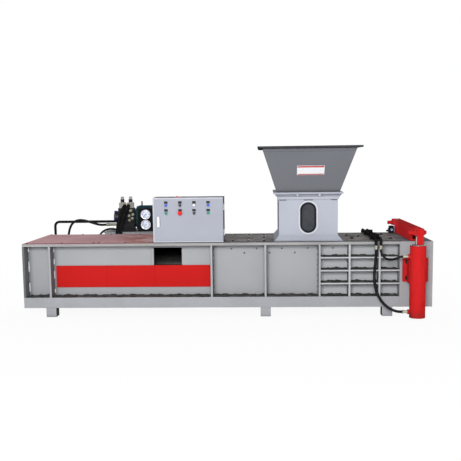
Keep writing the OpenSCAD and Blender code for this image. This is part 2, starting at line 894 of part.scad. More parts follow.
module lift_glands() color("lightgray") both_sides() difference() {
    union() {
        bar_z([gate_x, -lift_y, lift_top], lift_gland_d, lift_gland_h);
        bar_z([gate_x, -lift_y, lift_top - lift_gland_in], lift_bore - 2 * fit,
            lift_gland_in + lift_gland_h / 2);
    }
    bar_z([gate_x, -lift_y, lift_top - lift_gland_in - over], lift_rod_d + 2 * fit,
        lift_gland_in + lift_gland_h + 2 * over);
}

module lift_rods() color("lightgray") both_sides() difference() {
    z0 = lift_foot + lift_cap_t + gap;
    eye_w = beam_w - 2 * beam_t - 2 * eye_side_gap;
    union() {
        bar_z([gate_x, -lift_y, z0], lift_bore - 2 * fit, lift_piston_t);
        bar_z([gate_x, -lift_y, z0], lift_rod_d, pin_z - eye_neck - z0);
        block([gate_x - eye_w / 2, -lift_y - eye_r, pin_z - eye_neck],
              [gate_x + eye_w / 2, -lift_y + eye_r, pin_z]);
        bar_x([gate_x - eye_w / 2, -lift_y, pin_z], 2 * eye_r, eye_w);
    }
    bar_x([gate_x - beam_w, -lift_y, pin_z], cross_pin_d + 2 * fit, 2 * beam_w);
}

module lift_brackets() color("firebrick") both_sides() difference() {
    union() {
        block([gate_x - bracket_w / 2, -half - bracket_t, bracket_lift],
              [gate_x + bracket_w / 2, -half, bracket_lift + bracket_h]);
        block([gate_x - lift_d / 2 - saddle_w, -lift_y, bracket_lift],
              [gate_x + lift_d / 2 + saddle_w, -half, bracket_lift + bracket_h]);
    }
    bar_z([gate_x, -lift_y, bracket_lift - over], lift_d + 2 * fit, bracket_h + 2 * over);
}

// Feed throat and hopper

// Four-sided funnel: the overlap of two tapered prisms
module funnel(w0, w1, d0, d1, z0, z1) intersection() {
    translate([feed_x, d1, 0]) rotate([90, 0, 0]) linear_extrude(2 * d1)
        polygon([[-w0 / 2, z0], [w0 / 2, z0], [w1 / 2, z1], [-w1 / 2, z1]]);
    translate([feed_x - w1, 0, 0]) rotate([90, 0, 90]) linear_extrude(2 * w1)
        polygon([[-d0 / 2, z0], [d0 / 2, z0], [d1 / 2, z1], [-d1 / 2, z1]]);
}

module throat_ring(out, z, h)
    block([feed_x - throat_w / 2 - out, -throat_d / 2 - out, z],
        [feed_x + throat_w / 2 + out, throat_d / 2 + out, z + h]);

module feed_throat() color("gainsboro") difference() {
    union() {
        throat_ring(0, bed_h, throat_h);
        throat_ring(flange_w, bed_h, flange_t);
        throat_ring(flange_w, throat_top - flange_t, flange_t);
        throat_ring(band_out, throat_top - band_drop - band_h, band_h);
        funnel(throat_w + 2 * flange_w - 2 * flare_in, throat_w - 2 * flare_in,
               throat_d + 2 * flange_w - 2 * flare_in, throat_d - 2 * flare_in,
               bed_h + flange_t / 2, bed_h + flare_low_h);
        funnel(throat_w - 2 * flare_in, throat_w + 2 * flange_w - 2 * flare_in,
               throat_d - 2 * flare_in, throat_d - 2 * flare_in,
               throat_top - flare_up_h, throat_top - flange_t / 2);
        plate_xz([feed_x, -throat_d / 2 - sight_frame_out, sight_z], sight_frame_out + throat_t / 2)
            slot(sight_w + 2 * sight_frame_w, sight_h + 2 * sight_frame_w);
    }
    throat_ring(-throat_t, bed_h - over, throat_h + 2 * over);
    plate_xz([feed_x, -throat_d / 2 - sight_frame_out - over, sight_z],
        sight_frame_out + throat_t + 2 * over)
        slot(sight_w, sight_h);
}

module sight_window() color("dimgray") difference() {
    plate_xz([feed_x, -throat_d / 2 - sight_frame_out - sight_seal_out, sight_z],
             sight_frame_out + sight_seal_out + throat_t)
        slot(sight_w - 2 * gap, sight_h - 2 * gap);
    plate_xz([feed_x, -throat_d / 2 - sight_frame_out - sight_seal_out - over, sight_z],
             over + sight_seal_out + sight_pane_in)
        slot(sight_w - 2 * sight_seal, sight_h - 2 * sight_seal);
}

module hopper() color("gray") difference() {
    union() {
        funnel(hopper_foot_w, hopper_top_w, hopper_foot_d, hopper_top_d, throat_top, hopper_top);
        throat_ring(flange_w, throat_top, flange_t);
        difference() {
            block([feed_x - hopper_top_w / 2 - rim_w, -hopper_top_d / 2 - rim_w, hopper_top - rim_lip],
                  [feed_x + hopper_top_w / 2 + rim_w, hopper_top_d / 2 + rim_w, hopper_top]);
            block([feed_x - hopper_top_w / 2 - rim_w + rim_t, -hopper_top_d / 2 - rim_w + rim_t,
                   hopper_top - rim_lip - over],
                  [feed_x + hopper_top_w / 2 + rim_w - rim_t, hopper_top_d / 2 + rim_w - rim_t,
                   hopper_top - rim_t]);
        }
    }
    funnel(hopper_foot_w - 2 * hopper_t, hopper_top_w - 2 * hopper_t,
           hopper_foot_d - 2 * hopper_t, hopper_top_d - 2 * hopper_t, throat_top, hopper_top);
    throat_ring(-throat_t, throat_top - over, flange_t + over);
}

// Control cabinet

module cabinet() color("gainsboro") {
    x1 = cab_x + cab_w;
    back_y = case_y + cab_d;
    difference() {
        block([cab_x, case_y, cab_z], [x1, back_y, cab_z + cab_h]);
        block([cab_x + cab_t, case_y + cab_t, cab_z + cab_t],
            [x1 - cab_t, back_y - cab_t, cab_z + cab_h - cab_t]);
        block([cab_x + lip_w, case_y - over, cab_z + lip_w],
            [x1 - lip_w, case_y + 2 * cab_t, cab_z + cab_h - lip_w]);
    }
    for (y = [case_y + lip_w, back_y - lip_w - rail_w])
        block([cab_x + lip_w, y, bed_h], [x1 - lip_w, y + rail_w, cab_z]);
    for (z = [cab_z + hinge_inset, cab_z + cab_h - hinge_inset - hinge_h]) hinge_leaf(z);
}

// Hinge leaf on the case, with the pin that carries the door
module hinge_leaf(z) {
    x1 = cab_x + cab_w;
    axis_x = x1 + hinge_out;
    axis_y = door_y + door_d / 2;
    block([x1, case_y + over, z], [axis_x, case_y + leaf_len, z + hinge_h / 2]);
    block([axis_x - leaf_t, axis_y, z], [axis_x, case_y + leaf_len, z + hinge_h / 2]);
    bar_z([axis_x, axis_y, z], 2 * hinge_r, hinge_h / 2);
    bar_z([axis_x, axis_y, z], 2 * hinge_pin_r, hinge_h);
}

module door_bores() {
    for (c = [0 : 3]) for (r = [0, 1])
        bar_y([column_x + c * column_pitch, door_y - collar_h - over, row_z - r * row_pitch],
              2 * stem_r + 2 * fit, collar_h + stem_in + button_travel + 2 * over);
    bar_y([handle_x, door_y - handle_plate_t - over, handle_z], handle_pivot_d + 2 * fit,
        door_d + handle_plate_t);
}

// Folded tray with switch collars in front, contact blocks behind and hinge knuckles at the right
module cabinet_door() color("gainsboro") difference() {
    x1 = cab_x + cab_w;
    axis_x = x1 + hinge_out;
    axis_y = door_y + door_d / 2;
    union() {
        difference() {
            block([cab_x, door_y, cab_z], [x1, door_y + door_d, cab_z + cab_h]);
            block([cab_x + cab_t, door_y + cab_t, cab_z + cab_t],
                  [x1 - cab_t, door_y + door_d + over, cab_z + cab_h - cab_t]);
        }
        for (c = [0 : 3]) for (r = [0, 1])
                translate([column_x + c * column_pitch, door_y, row_z - r * row_pitch]) {
            bar_y([0, -collar_h, 0], collar_d, collar_h + cab_t);
            block([-contact_w / 2, cab_t / 2, -contact_h / 2],
                [contact_w / 2, cab_t + contact_d, contact_h / 2]);
        }
        plate_xz([handle_x, door_y - handle_plate_t, handle_z - handle_len / 2 + handle_w / 2],
                 handle_plate_t + cab_t / 2)
            slot(handle_w + 2 * handle_plate_rim, handle_len + 2 * handle_plate_rim);
        for (z = [cab_z + hinge_inset, cab_z + cab_h - hinge_inset - hinge_h]) {
            bar_z([axis_x, axis_y, z + hinge_h / 2 + gap], 2 * hinge_r, hinge_h / 2);
            block([x1 - cab_t, axis_y, z + hinge_h / 2 + gap],
                [axis_x, axis_y + leaf_t, z + hinge_h + gap]);
        }
    }
    door_bores();
    for (z = [cab_z + hinge_inset, cab_z + cab_h - hinge_inset - hinge_h])
        bar_z([axis_x, axis_y, z + hinge_h / 2], 2 * hinge_pin_r + 2 * fit, hinge_h / 2 + gap);
}

module door_handle() color("whitesmoke") {
    plate_xz([handle_x, door_y - handle_plate_t - gap - handle_t,
        handle_z - handle_len / 2 + handle_w / 2], handle_t)
        slot(handle_w, handle_len);
    bar_y([handle_x, door_y - handle_plate_t - gap - handle_t / 2, handle_z], handle_pivot_d,
          handle_t + handle_plate_t + door_d / 2);
}

// Where a control stands on the door
module at_control(c, r) translate([column_x + c * column_pitch, door_y - collar_h, row_z - r * row_pitch])
    children();

module push_cap() turned_front([0, 0, 0]) polygon([
    [0, -stem_in - collar_h], [stem_r, -stem_in - collar_h], [stem_r, cap_show - cab_t / 2],
    [stem_r - cab_t / 2, cap_show], [0, cap_show]
]);

module stop_head() turned_front([0, 0, 0]) polygon([
    [0, -stem_in - collar_h], [stem_r, -stem_in - collar_h], [stem_r, button_travel],
    [stop_neck_d / 2, button_travel + gap], [stop_d / 2 - collar_h / 2, stop_show / 2],
    [stop_d / 2, stop_show * 0.64],
    [stop_d / 2, stop_show * 0.8], [stop_d / 2 - collar_h / 2, stop_show], [0, stop_show]
]);

module selector_knob() {
    turned_front([0, 0, 0]) polygon([
        [0, -stem_in - collar_h], [stem_r, -stem_in - collar_h], [stem_r, gap], [selector_d / 2, gap],
        [selector_d / 2, selector_show - cab_t / 2], [selector_d / 2 - cab_t / 2, selector_show],
        [0, selector_show]
    ]);
    block([-fin_w / 2, -selector_show - fin_h, -selector_d / 2],
        [fin_w / 2, -selector_show / 2, selector_d / 2]);
}

module button_blue_left() color("steelblue") at_control(0, 0) push_cap();
module selector_upper() color("black") at_control(1, 0) selector_knob();
module button_white() color("white") at_control(2, 0) push_cap();
module button_blue_right() color("steelblue") at_control(3, 0) push_cap();
module button_green_left() color("green") at_control(0, 1) push_cap();
module emergency_stop() color("red") at_control(1, 1) stop_head();
module selector_lower() color("black") at_control(2, 1) selector_knob();
module button_green_right() color("green") at_control(3, 1) push_cap();

// Mounting plate with cable ducts, breakers, contactors and terminals
module mounting_plate() color("lightsteelblue") {
    x0 = cab_x + plate_inset;
    x1 = cab_x + cab_w - plate_inset;
    z0 = cab_z + plate_inset;
    z1 = cab_z + cab_h - plate_inset;
    y1 = case_y + cab_d - cab_t;
    y0 = y1 - plate_off - plate_t;
    w = x1 - x0;
    h = z1 - z0;
    block([x0, y0, z0], [x1, y0 + plate_t, z1]);
    for (x = [x0 + standoff_d, x1 - standoff_d]) for (z = [z0 + standoff_d, z1 - standoff_d])
        bar_y([x, y0, z], standoff_d, y1 - y0);
    duct_shares = [0.02, 0.46, 0.9];
    for (s = duct_shares) block([x0 + standoff_d, y0 - 3 * standoff_d, z0 + s * h],
                                [x1 - standoff_d, y0 + plate_t / 2, z0 + (s + 0.08) * h]);
    breaker_shares = [0.08, 0.18, 0.28, 0.44, 0.62, 0.80];
    for (s = breaker_shares) block([x0 + s * w, y0 - 4 * standoff_d, z0 + 0.60 * h],
                                   [x0 + (s + 0.085) * w, y0 + plate_t / 2, z0 + 0.84 * h]);
    contactor_shares = [0.06, 0.24, 0.42, 0.60];
    for (s = contactor_shares) block([x0 + s * w, y0 - 5 * standoff_d, z0 + 0.16 * h],
                                     [x0 + (s + 0.12) * w, y0 + plate_t / 2, z0 + 0.40 * h]);
    block([x0 + 0.80 * w, y0 - 6 * standoff_d, z0 + 0.16 * h],
        [x0 + 0.96 * w, y0 + plate_t / 2, z0 + 0.42 * h]);
}

module lamp() color("red") translate([lamp_x, case_y + cab_d / 4, cab_z + cab_h]) rotate_extrude() polygon([
    [0, 0], [lamp_d / 2, 0], [lamp_d / 2, lamp_base_h], [lamp_d * 0.42, lamp_base_h],
    [lamp_d * 0.42, lamp_h * 0.6],
    [lamp_d * 0.3, lamp_h * 0.9], [0, lamp_h]
]);

// Power pack

module oil_tank() color("lightgray") difference() {
    union() {
        block([tank_x, tank_y, tank_foot], [tank_x + tank_len, tank_y + tank_d, tank_top]);
        block([tank_x - lid_over, tank_y - lid_over, tank_top],
              [tank_x + tank_len + lid_over, tank_y + tank_d + lid_over, lid_top]);
        for (x = [tank_x, tank_x + tank_len - 2 * tank_foot])
            for (y = [tank_y, tank_y + tank_d - tank_foot])
            block([x, y, 0], [x + 2 * tank_foot, y + tank_foot, tank_foot]);
        bar_y([tank_x + tank_len / 3, tank_y + tank_d, (tank_foot + tank_top) / 2], hatch_d, hatch_t);
        for (a = [0 : hatch_bolts - 1])
            translate([tank_x + tank_len / 3, tank_y + tank_d, (tank_foot + tank_top) / 2])
                rotate([0, a * 360 / hatch_bolts, 0])
                bar_y([hatch_d / 2 - hatch_bolt_d, 0, 0], hatch_bolt_d, hatch_t + hatch_bolt_d / 2);
        block([tank_x + tank_len * 0.72, tank_y + tank_d, tank_foot + (tank_top - tank_foot) * 0.4],
              [tank_x + tank_len * 0.72 + sight_gauge_w, tank_y + tank_d + sight_gauge_t,
               tank_foot + (tank_top - tank_foot) * 0.4 + sight_gauge_h]);
    }
    block([tank_x + tank_t, tank_y + tank_t, tank_foot + tank_t],
          [tank_x + tank_len - tank_t, tank_y + tank_d - tank_t, tank_top]);
    bar_z([filler_x, filler_y, tank_top - over], filler_neck_d + 2 * gap, lid_t + 2 * over);
}

module filler_cap() color("black") {
    bar_z([filler_x, filler_y, lid_top], filler_d, filler_h);
    bar_z([filler_x, filler_y, tank_top - lid_t], filler_neck_d, 2 * lid_t);
}

// Finned motor with end shields, feet, terminal box and lifting ring
module motor_housing() color("darkslategray") difference() {
    union() {
        translate([motor_x + shield_t, shaft_y, shaft_z]) rotate([90, 0, 90])
                linear_extrude(motor_len - 2 * shield_t) {
            circle(d = motor_d - 2 * fin_depth);
            for (a = [0 : fin_count - 1]) rotate(a * 360 / fin_count)
                translate([0, -fin_t / 2]) square([motor_d / 2, fin_t]);
        }
        bar_x([motor_x, shaft_y, shaft_z], shield_d, shield_t + over);
        bar_x([motor_x + motor_len - shield_t - over, shaft_y, shaft_z], shield_d, shield_t + over);
        for (s = [-1, 1]) translate([0, shaft_y + s * (motor_d / 2 - foot_w / 2), 0]) {
            block([motor_x + shield_t + foot_w / 2, -foot_w / 2, lid_top],
                  [motor_x + motor_len - shield_t - foot_w / 2, foot_w / 2, lid_top + foot_t]);
            block([motor_x + shield_t + foot_w / 2, -foot_t / 2 - s * foot_t, lid_top],
                  [motor_x + motor_len - shield_t - foot_w / 2, foot_t / 2 - s * foot_t,
                      shaft_z - motor_d / 5]);
        }
        block([motor_x + motor_len * 0.45 - term_w / 2, shaft_y + motor_d / 2 - fin_depth * 2,
            shaft_z - term_h / 2],
              [motor_x + motor_len * 0.45 + term_w / 2, shaft_y + motor_d / 2 + term_d,
                  shaft_z + term_h / 2]);
        translate([ring_x - ring_t / 2, shaft_y, shaft_z + motor_d / 2 + ring_r])
            rotate([0, 90, 0]) cylinder(r = ring_r, h = ring_t);
        bar_z([ring_x, shaft_y, shaft_z + motor_d / 2 - fin_depth - over], 2 * ring_t,
            fin_depth + over + ring_t);
    }
    bar_x([motor_x - over, shaft_y, shaft_z], shaft_d + 2 * fit, motor_len + 2 * over);
    bar_x([ring_x - ring_t, shaft_y, shaft_z + motor_d / 2 + ring_r], 1.2 * ring_r, 2 * ring_t);
}

// Cup over the fan, with slots round its end
module fan_cowl() color("darkslategray") difference() {
    bar_x([motor_x + motor_len, shaft_y, shaft_z], cowl_d, cowl_len);
    bar_x([motor_x + motor_len - over, shaft_y, shaft_z], cowl_d - 2 * cowl_t, cowl_len - cowl_t + over);
    for (a = [0 : cowl_slots - 1]) translate([motor_x + motor_len + cowl_len, shaft_y, shaft_z])
        rotate([a * 360 / cowl_slots, 0, 0])
        block([-2 * cowl_t, -cowl_slot_w / 2, cowl_hub_d / 2],
            [over, cowl_slot_w / 2, cowl_d / 2 - cowl_rim]);
}

// Shaft with the fan at one end and the coupling in the bell housing
module motor_rotor() color("gray") {
    fan_x = motor_x + motor_len + shield_t;
    bar_x([bell_x - pump_len / 4, shaft_y, shaft_z], shaft_d,
        fan_x + fan_blade_h + fan_t - bell_x + pump_len / 4);
    bar_x([bell_x + bell_len / 2 - coupling_t / 2, shaft_y, shaft_z], coupling_d, coupling_t);
    bar_x([fan_x, shaft_y, shaft_z], fan_d, fan_t);
    bar_x([fan_x, shaft_y, shaft_z], fan_hub_d, fan_blade_h);
    for (a = [0 : 7]) translate([fan_x, shaft_y, shaft_z]) rotate([a * 45, 0, 0])
        block([fan_t / 2, -fan_t / 2, fan_hub_d / 2 - fan_t],
            [fan_blade_h - fan_t, fan_t / 2, fan_d / 2 - fan_t]);
}

// Bell housing with side windows, and the pump bolted to it
module pump() color("gray") difference() {
    union() {
        bar_x([bell_x, shaft_y, shaft_z], bell_d * 0.8, bell_len);
        bar_x([motor_x - bell_t, shaft_y, shaft_z], bell_d, bell_t);
        bar_x([bell_x - bell_t, shaft_y, shaft_z], pump_d * 1.2, bell_t + over);
        bar_x([pump_x, shaft_y, shaft_z], pump_d, pump_len);
        bar_x([pump_x + pump_cover_t, shaft_y, shaft_z], pump_d * 1.12, pump_cover_t);
        bar_x([pump_x - pump_cover_t, shaft_y, shaft_z], pump_neck_d, pump_cover_t + over);
    }
    bar_x([bell_x, shaft_y, shaft_z], bell_d * 0.8 - 2 * bell_t, bell_len + over);
    bar_x([bell_x - pump_len / 4 - gap, shaft_y, shaft_z], shaft_d + 2 * fit, pump_len);
    block([bell_x + bell_t, shaft_y - bell_d, shaft_z - bell_window_h / 2],
          [motor_x - 2 * bell_t, shaft_y + bell_d, shaft_z + bell_window_h / 2]);
}

module valve_block() color("dimgray") {
    block([block_x, block_y, lid_top], [block_x + block_len, block_y + block_d, block_top]);
    bar_y([block_x + block_len * port_plug_x_share, block_y - port_plug_t,
        lid_top + block_h * port_plug_z_share],
          port_plug_d, port_plug_t + over);
    for (z = [knob_up_z, knob_low_z])
        bar_x([block_x - knob_stem, block_y + block_d / 2, z], knob_stem_d * 1.4, knob_stem + over);
}

// Valve bodies side by side on the block, each with a coil and its plug
module solenoid_valves() color("lightgray") for (i = [0 : valve_count - 1]) {
    x = block_x + block_len * (i + 0.5) / valve_count;
    y = block_y + block_d / 2;
    block([x - valve_w / 2, block_y, block_top],
        [x + valve_w / 2, block_y + block_d, block_top + valve_body_h]);
    bar_z([x, y, block_top + valve_body_h - over], coil_d, coil_h + over);
    block([x - plug_w / 2, y - plug_d / 2, block_top + valve_body_h + coil_h - over],
          [x + plug_w / 2, y + plug_d / 2, block_top + valve_body_h + coil_h + plug_h]);
}

module relief_knob(z) translate([block_x - knob_stem - gap, block_y + block_d / 2, z]) rotate([0, -90, 0])
    rotate_extrude()
    polygon([[0, 0], [knob_d / 2 - fin_t / 2, 0], [knob_d / 2, fin_t / 2], [knob_d / 2, knob_len - fin_t],
             [knob_d / 2 - fin_t, knob_len], [0, knob_len]]);

module relief_knob_upper() color("midnightblue") relief_knob(knob_up_z);
module relief_knob_lower() color("midnightblue") relief_knob(knob_low_z);

module gauge_panel() color("black") {
    block([board_x, board_y, lid_top], [board_x + board_w, board_y + board_t, lid_top + board_h]);
    block([board_x, board_y, lid_top], [board_x + board_w, board_y + board_foot, lid_top + board_t]);
}

module gauge_case(z) {
    translate([gauge_x, board_y, z]) rotate([90, 0, 0]) rotate_extrude() polygon([
        [0, 0], [gauge_d / 2 - gauge_rim, 0], [gauge_d / 2 - gauge_rim, gauge_back],
        [gauge_d / 2, gauge_back],
        [gauge_d / 2, gauge_depth], [gauge_d / 2 - gauge_rim, gauge_depth],
        [gauge_d / 2 - gauge_rim, gauge_depth - 2 * needle_off],
        [needle_pin_d / 2, gauge_depth - 2 * needle_off], [needle_pin_d / 2, gauge_depth - needle_off],
        [0, gauge_depth - needle_off]
    ]);
}

module gauge_cases() color("dimgray") for (z = [gauge_up_z, gauge_low_z]) gauge_case(z);

module needle(z) translate([gauge_x, board_y - gauge_depth + 2 * needle_off - gap, z]) rotate([90, 0, 0])
        linear_extrude(needle_t) difference() {
    union() {
        circle(d = needle_hub_d);
        rotate(225) translate([-needle_hub_d, -needle_w / 2]) square([needle_len + needle_hub_d, needle_w]);
    }
    circle(d = needle_pin_d + 2 * fit);
}

module needle_upper() color("black") needle(gauge_up_z);
module needle_lower() color("black") needle(gauge_low_z);

// Pipes, fittings and hoses

// Each long pipe takes over from a bent tube, runs behind the bed and ends at the rear lift cylinder,
// with a branch that climbs over the deck to the front
module steel_pipes() color("black") {
    up = [
        [drop_up_x - drop_step, run_up_y, drop_end_z - gap], [drop_up_x - drop_step, run_up_y, run_up_z],
        [bend_up_x, run_up_y, run_up_z], [bend_up_x, lift_y, run_up_z],
        [gate_x - lift_d / 2 - lift_boss_out, lift_y, run_up_z]
    ];
    low = [
        [drop_low_x - drop_step, run_low_y, drop_end_z - gap],
        [drop_low_x - drop_step, run_low_y, run_low_z],
        [bend_low_x, run_low_y, run_low_z], [bend_low_x, run_low_y, lift_low_z],
        [bend_low_x, lift_y, lift_low_z], [gate_x - lift_d / 2 - lift_boss_out, lift_y, lift_low_z]
    ];
    drop([drop_up_x, block_y - header_t, drop_z], [drop_up_x - drop_step, run_up_y, drop_end_z]);
    drop([drop_low_x, block_y - header_t, drop_z], [drop_low_x - drop_step, run_low_y, drop_end_z]);
    pipe(up, line_d, line_r);
    pipe(low, line_d, line_r);
    tee(deck_up_x, run_up_y, run_up_z);
    tee(deck_low_x, run_low_y, run_low_z);
    pipe([
        [block_x, main_line_y, main_line_z], [main_drop_x, main_line_y, main_line_z],
        [main_drop_x, main_line_y, mid_z],
        [port_a_x, main_line_y, mid_z], [port_a_x, port_y, mid_z]
    ], main_line_d, main_line_r);
    pipe([
        [line_c_x, in_y, mid_z], [line_c_x, inner_line_y, mid_z],
        [port_c_x, inner_line_y, mid_z], [port_c_x, port_y, mid_z]
    ], line_d, line_r);
    bar_y([bell_x - suction_d, block_y + block_d, shaft_z], press_d,
        shaft_y - block_y - block_d - pump_d / 2 - gap);
    bar_z([bell_x - suction_d, shaft_y, lid_top], suction_d, motor_h - pump_d / 2 - gap);
}

// Bent tube that leaves the valves forwards and comes down behind the bed
module drop(a, b) hose([
    for (t = [0 : drop_rings])
    let (s = t / drop_rings, c1 = [a[0], a[1] - drop_reach, a[2]], c2 = [b[0], b[1], b[2] + 2 * drop_reach])
    pow(1 - s, 3) * a + 3 * s * pow(1 - s, 2) * c1 + 3 * s * s * (1 - s) * c2 + pow(s, 3) * b
], drop_d, [0, 0, 1]);

// Tee block on a long pipe, with the deck pipe that rises from it
module tee(x, y, z) {
    block([x - tee_w / 2, y - tee_w / 2, z - tee_w / 2], [x + tee_w / 2, y + tee_w / 2, z + tee_w / 2]);
    pipe([[x, y, z], [x, y, deck_line_z], [x, -deck_front, deck_line_z], [x, -deck_front, deck_end_z]],
         main_line_d, main_line_d * 1.3);
}

module hose_nut(p) {
    translate(p) rotate([0, 90, 0]) cylinder(d = ferrule_d * 1.3, h = ferrule_len * 0.3, $fn = 6);
    bar_x(p, ferrule_d, ferrule_len * 1.3);
}

module fittings() color("darkkhaki") {
    // Front lift cylinder ports and the ends of the deck pipes
    for (z = [run_up_z, lift_low_z]) hose_nut([port_tip_x, -lift_y, z]);
    for (x = [deck_up_x, deck_low_x]) {
        bar_z([x, -deck_front, front_tip_z], ferrule_d, ferrule_len);
        translate([x, -deck_front, front_tip_z + ferrule_len * 0.55])
            cylinder(d = ferrule_d * 1.4, h = ferrule_len * 0.3, $fn = 6);
    }
    // Header plate of the bent tubes, and the unions on the valve block
    block([drop_low_x - header_over, block_y - header_t, drop_z - header_h / 2],
          [drop_up_x + header_over, block_y, drop_z + header_h / 2]);
    for (s = union_shares) {
        x = block_x + block_len * s[0];
        z = lid_top + block_h * s[1];
        bar_y([x, block_y - union_len, z], union_d, union_len);
        translate([x, block_y - union_len * 0.6, z]) rotate([-90, 0, 0])
            cylinder(d = union_d * 1.4, h = union_len * 0.4, $fn = 6);
    }
    // Stubs at the valve block
    bar_x([hose_b_x, main_line_y, stub_b_z], stub_d * 0.86, stub_b_len);
    bar_x([hose_b_x, main_line_y, stub_b_z], stub_d, ferrule_len);
    bar_x([block_x - stub_c_len, main_line_y, stub_c_z], stub_d, stub_c_len);
    // Stubs through the rear wall, each with its nut
    bar_y([port_b_x, port_y, mid_z], stub_d, wall_y + stub_out - port_y);
    bar_y([port_b_x, wall_y, mid_z], nut_d, nut_h);
    bar_y([line_c_x, in_y, mid_z], stub_d, wall_t + stub_out);
    bar_y([line_c_x, wall_y, mid_z], nut_d, nut_h);
    // Clamps of the long pipes on the rear ribs, and of the deck pipes
    for (x = [rib_x[1], rib_x[2], rib_x[3]]) difference() {
        block([x - clamp_w / 2, half, run_low_z - line_d / 2 - clamp_rim],
              [x + clamp_w / 2, run_low_y + line_d / 2 + clamp_rim, run_up_z + line_d / 2 + clamp_rim]);
        bar_x([x - clamp_w, run_up_y, run_up_z], line_d + 2 * fit, 2 * clamp_w);
        bar_x([x - clamp_w, run_low_y, run_low_z], line_d + 2 * fit, 2 * clamp_w);
    }
    for (s = [-1, 1]) difference() {
        block([deck_low_x - main_line_d / 2 - clamp_rim, s * half / 2 - clamp_w / 2, bed_h],
              [deck_up_x + main_line_d / 2 + clamp_rim, s * half / 2 + clamp_w / 2,
                  deck_line_z + main_line_d / 2 + clamp_rim]);
        for (x = [deck_up_x, deck_low_x])
            bar_y([x, s * half / 2 - clamp_w, deck_line_z], main_line_d + 2 * fit, 2 * clamp_w);
    }
}

module main_hose() color("black") hose(main_hose_route, hose_d, [0, 1, 0]);
module return_hose() color("black") hose(return_hose_route, small_hose_d, [0, 1, 0]);
module front_upper_hose() color("black") hose(upper_hose_route, small_hose_d, [0, 1, 0]);
module front_lower_hose() color("black") hose(lower_hose_route, front_hose_d, [0, 1, 0]);

in_frame() front_wall();
in_frame() rear_wall();
in_frame() floor_plate();
in_frame() end_plate();
in_frame() top_flanges();
in_frame() roof_plates();
in_frame() ribs();
in_frame() skids();
in_frame() legs();
in_frame() gate_posts();
in_frame() gate_crossbars();
in_frame() deck_covers();
in_frame() side_panel();
in_frame() main_barrel();
in_frame() main_rod();
in_frame() ram();
in_frame() ram_pin();
in_frame() gate_plate();
in_frame() crosshead();
in_frame() crosshead_pins();
in_frame() lift_barrels();
in_frame() lift_glands();
in_frame() lift_rods();
in_frame() lift_brackets();
in_frame() feed_throat();
in_frame() hopper();
in_frame() sight_window();
in_frame() cabinet();
in_frame() cabinet_door();
in_frame() door_handle();
in_frame() button_blue_left();
in_frame() selector_upper();
in_frame() button_white();
in_frame() button_blue_right();
in_frame() button_green_left();
in_frame() emergency_stop();
in_frame() selector_lower();
in_frame() button_green_right();
in_frame() mounting_plate();
in_frame() lamp();
in_frame() oil_tank();
in_frame() filler_cap();
in_frame() motor_housing();
in_frame() fan_cowl();
in_frame() motor_rotor();
in_frame() pump();
in_frame() valve_block();
in_frame() solenoid_valves();
in_frame() relief_knob_upper();
in_frame() relief_knob_lower();
in_frame() gauge_panel();
in_frame() gauge_cases();
in_frame() needle_upper();
in_frame() needle_lower();
in_frame() steel_pipes();
in_frame() fittings();
in_frame() main_hose();
in_frame() return_hose();
in_frame() front_upper_hose();
in_frame() front_lower_hose();
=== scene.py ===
import math

import bmesh
import bpy
from mathutils import Matrix, Vector


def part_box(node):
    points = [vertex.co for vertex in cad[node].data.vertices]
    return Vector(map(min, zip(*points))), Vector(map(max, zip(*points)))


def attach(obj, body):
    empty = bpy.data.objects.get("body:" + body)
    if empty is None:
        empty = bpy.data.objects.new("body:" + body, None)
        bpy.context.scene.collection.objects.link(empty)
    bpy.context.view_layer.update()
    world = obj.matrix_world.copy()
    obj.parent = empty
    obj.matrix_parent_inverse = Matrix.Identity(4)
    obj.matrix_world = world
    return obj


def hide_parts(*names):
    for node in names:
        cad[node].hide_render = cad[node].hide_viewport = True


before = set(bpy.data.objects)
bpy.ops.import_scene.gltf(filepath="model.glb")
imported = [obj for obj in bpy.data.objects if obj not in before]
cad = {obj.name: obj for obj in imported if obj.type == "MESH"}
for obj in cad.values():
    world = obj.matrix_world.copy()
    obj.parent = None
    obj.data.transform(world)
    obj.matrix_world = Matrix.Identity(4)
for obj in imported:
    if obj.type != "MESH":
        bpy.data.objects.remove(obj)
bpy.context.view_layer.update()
scene = bpy.context.scene
scene.view_settings.view_transform = "Standard"

# Viewpoint: a long lens well back from the front of the bed, a little above the deck
# and almost square to it, so that the hopper's rim is just above eye level.
viewpoint = bpy.data.objects.new("viewpoint", bpy.data.cameras.new("viewpoint"))
scene.collection.objects.link(viewpoint)
viewpoint.data.sensor_fit = "HORIZONTAL"
viewpoint.data.sensor_width = 36
viewpoint.data.lens = 60.085
viewpoint.data.shift_x = 0.0047
viewpoint.data.shift_y = 0.0512
viewpoint.matrix_world = (
    Matrix.Translation((0.3517, -7.4331, 1.3894))
    @ Matrix.Rotation(math.radians(2.703), 4, "Z")
    @ Matrix.Rotation(math.radians(83.141), 4, "X")
    @ Matrix.Rotation(math.radians(-0.730), 4, "Z")
)
scene.camera = viewpoint


# Studio: a white room with a soft lamp in front and one behind, weaker ones at the ends, and a
# dim glow from all round, so that walls are bright and the sides of the ribs fall dark.
def add_node(tree, kind, **values):
    node = tree.nodes.new(kind)
    for key, value in values.items():
        if hasattr(node, key):
            setattr(node, key, value)
        else:
            node.inputs[key.replace("_", " ")].default_value = value
    return node


def join(tree, *pairs):
    for out, into in pairs:
        tree.links.new(out, into)


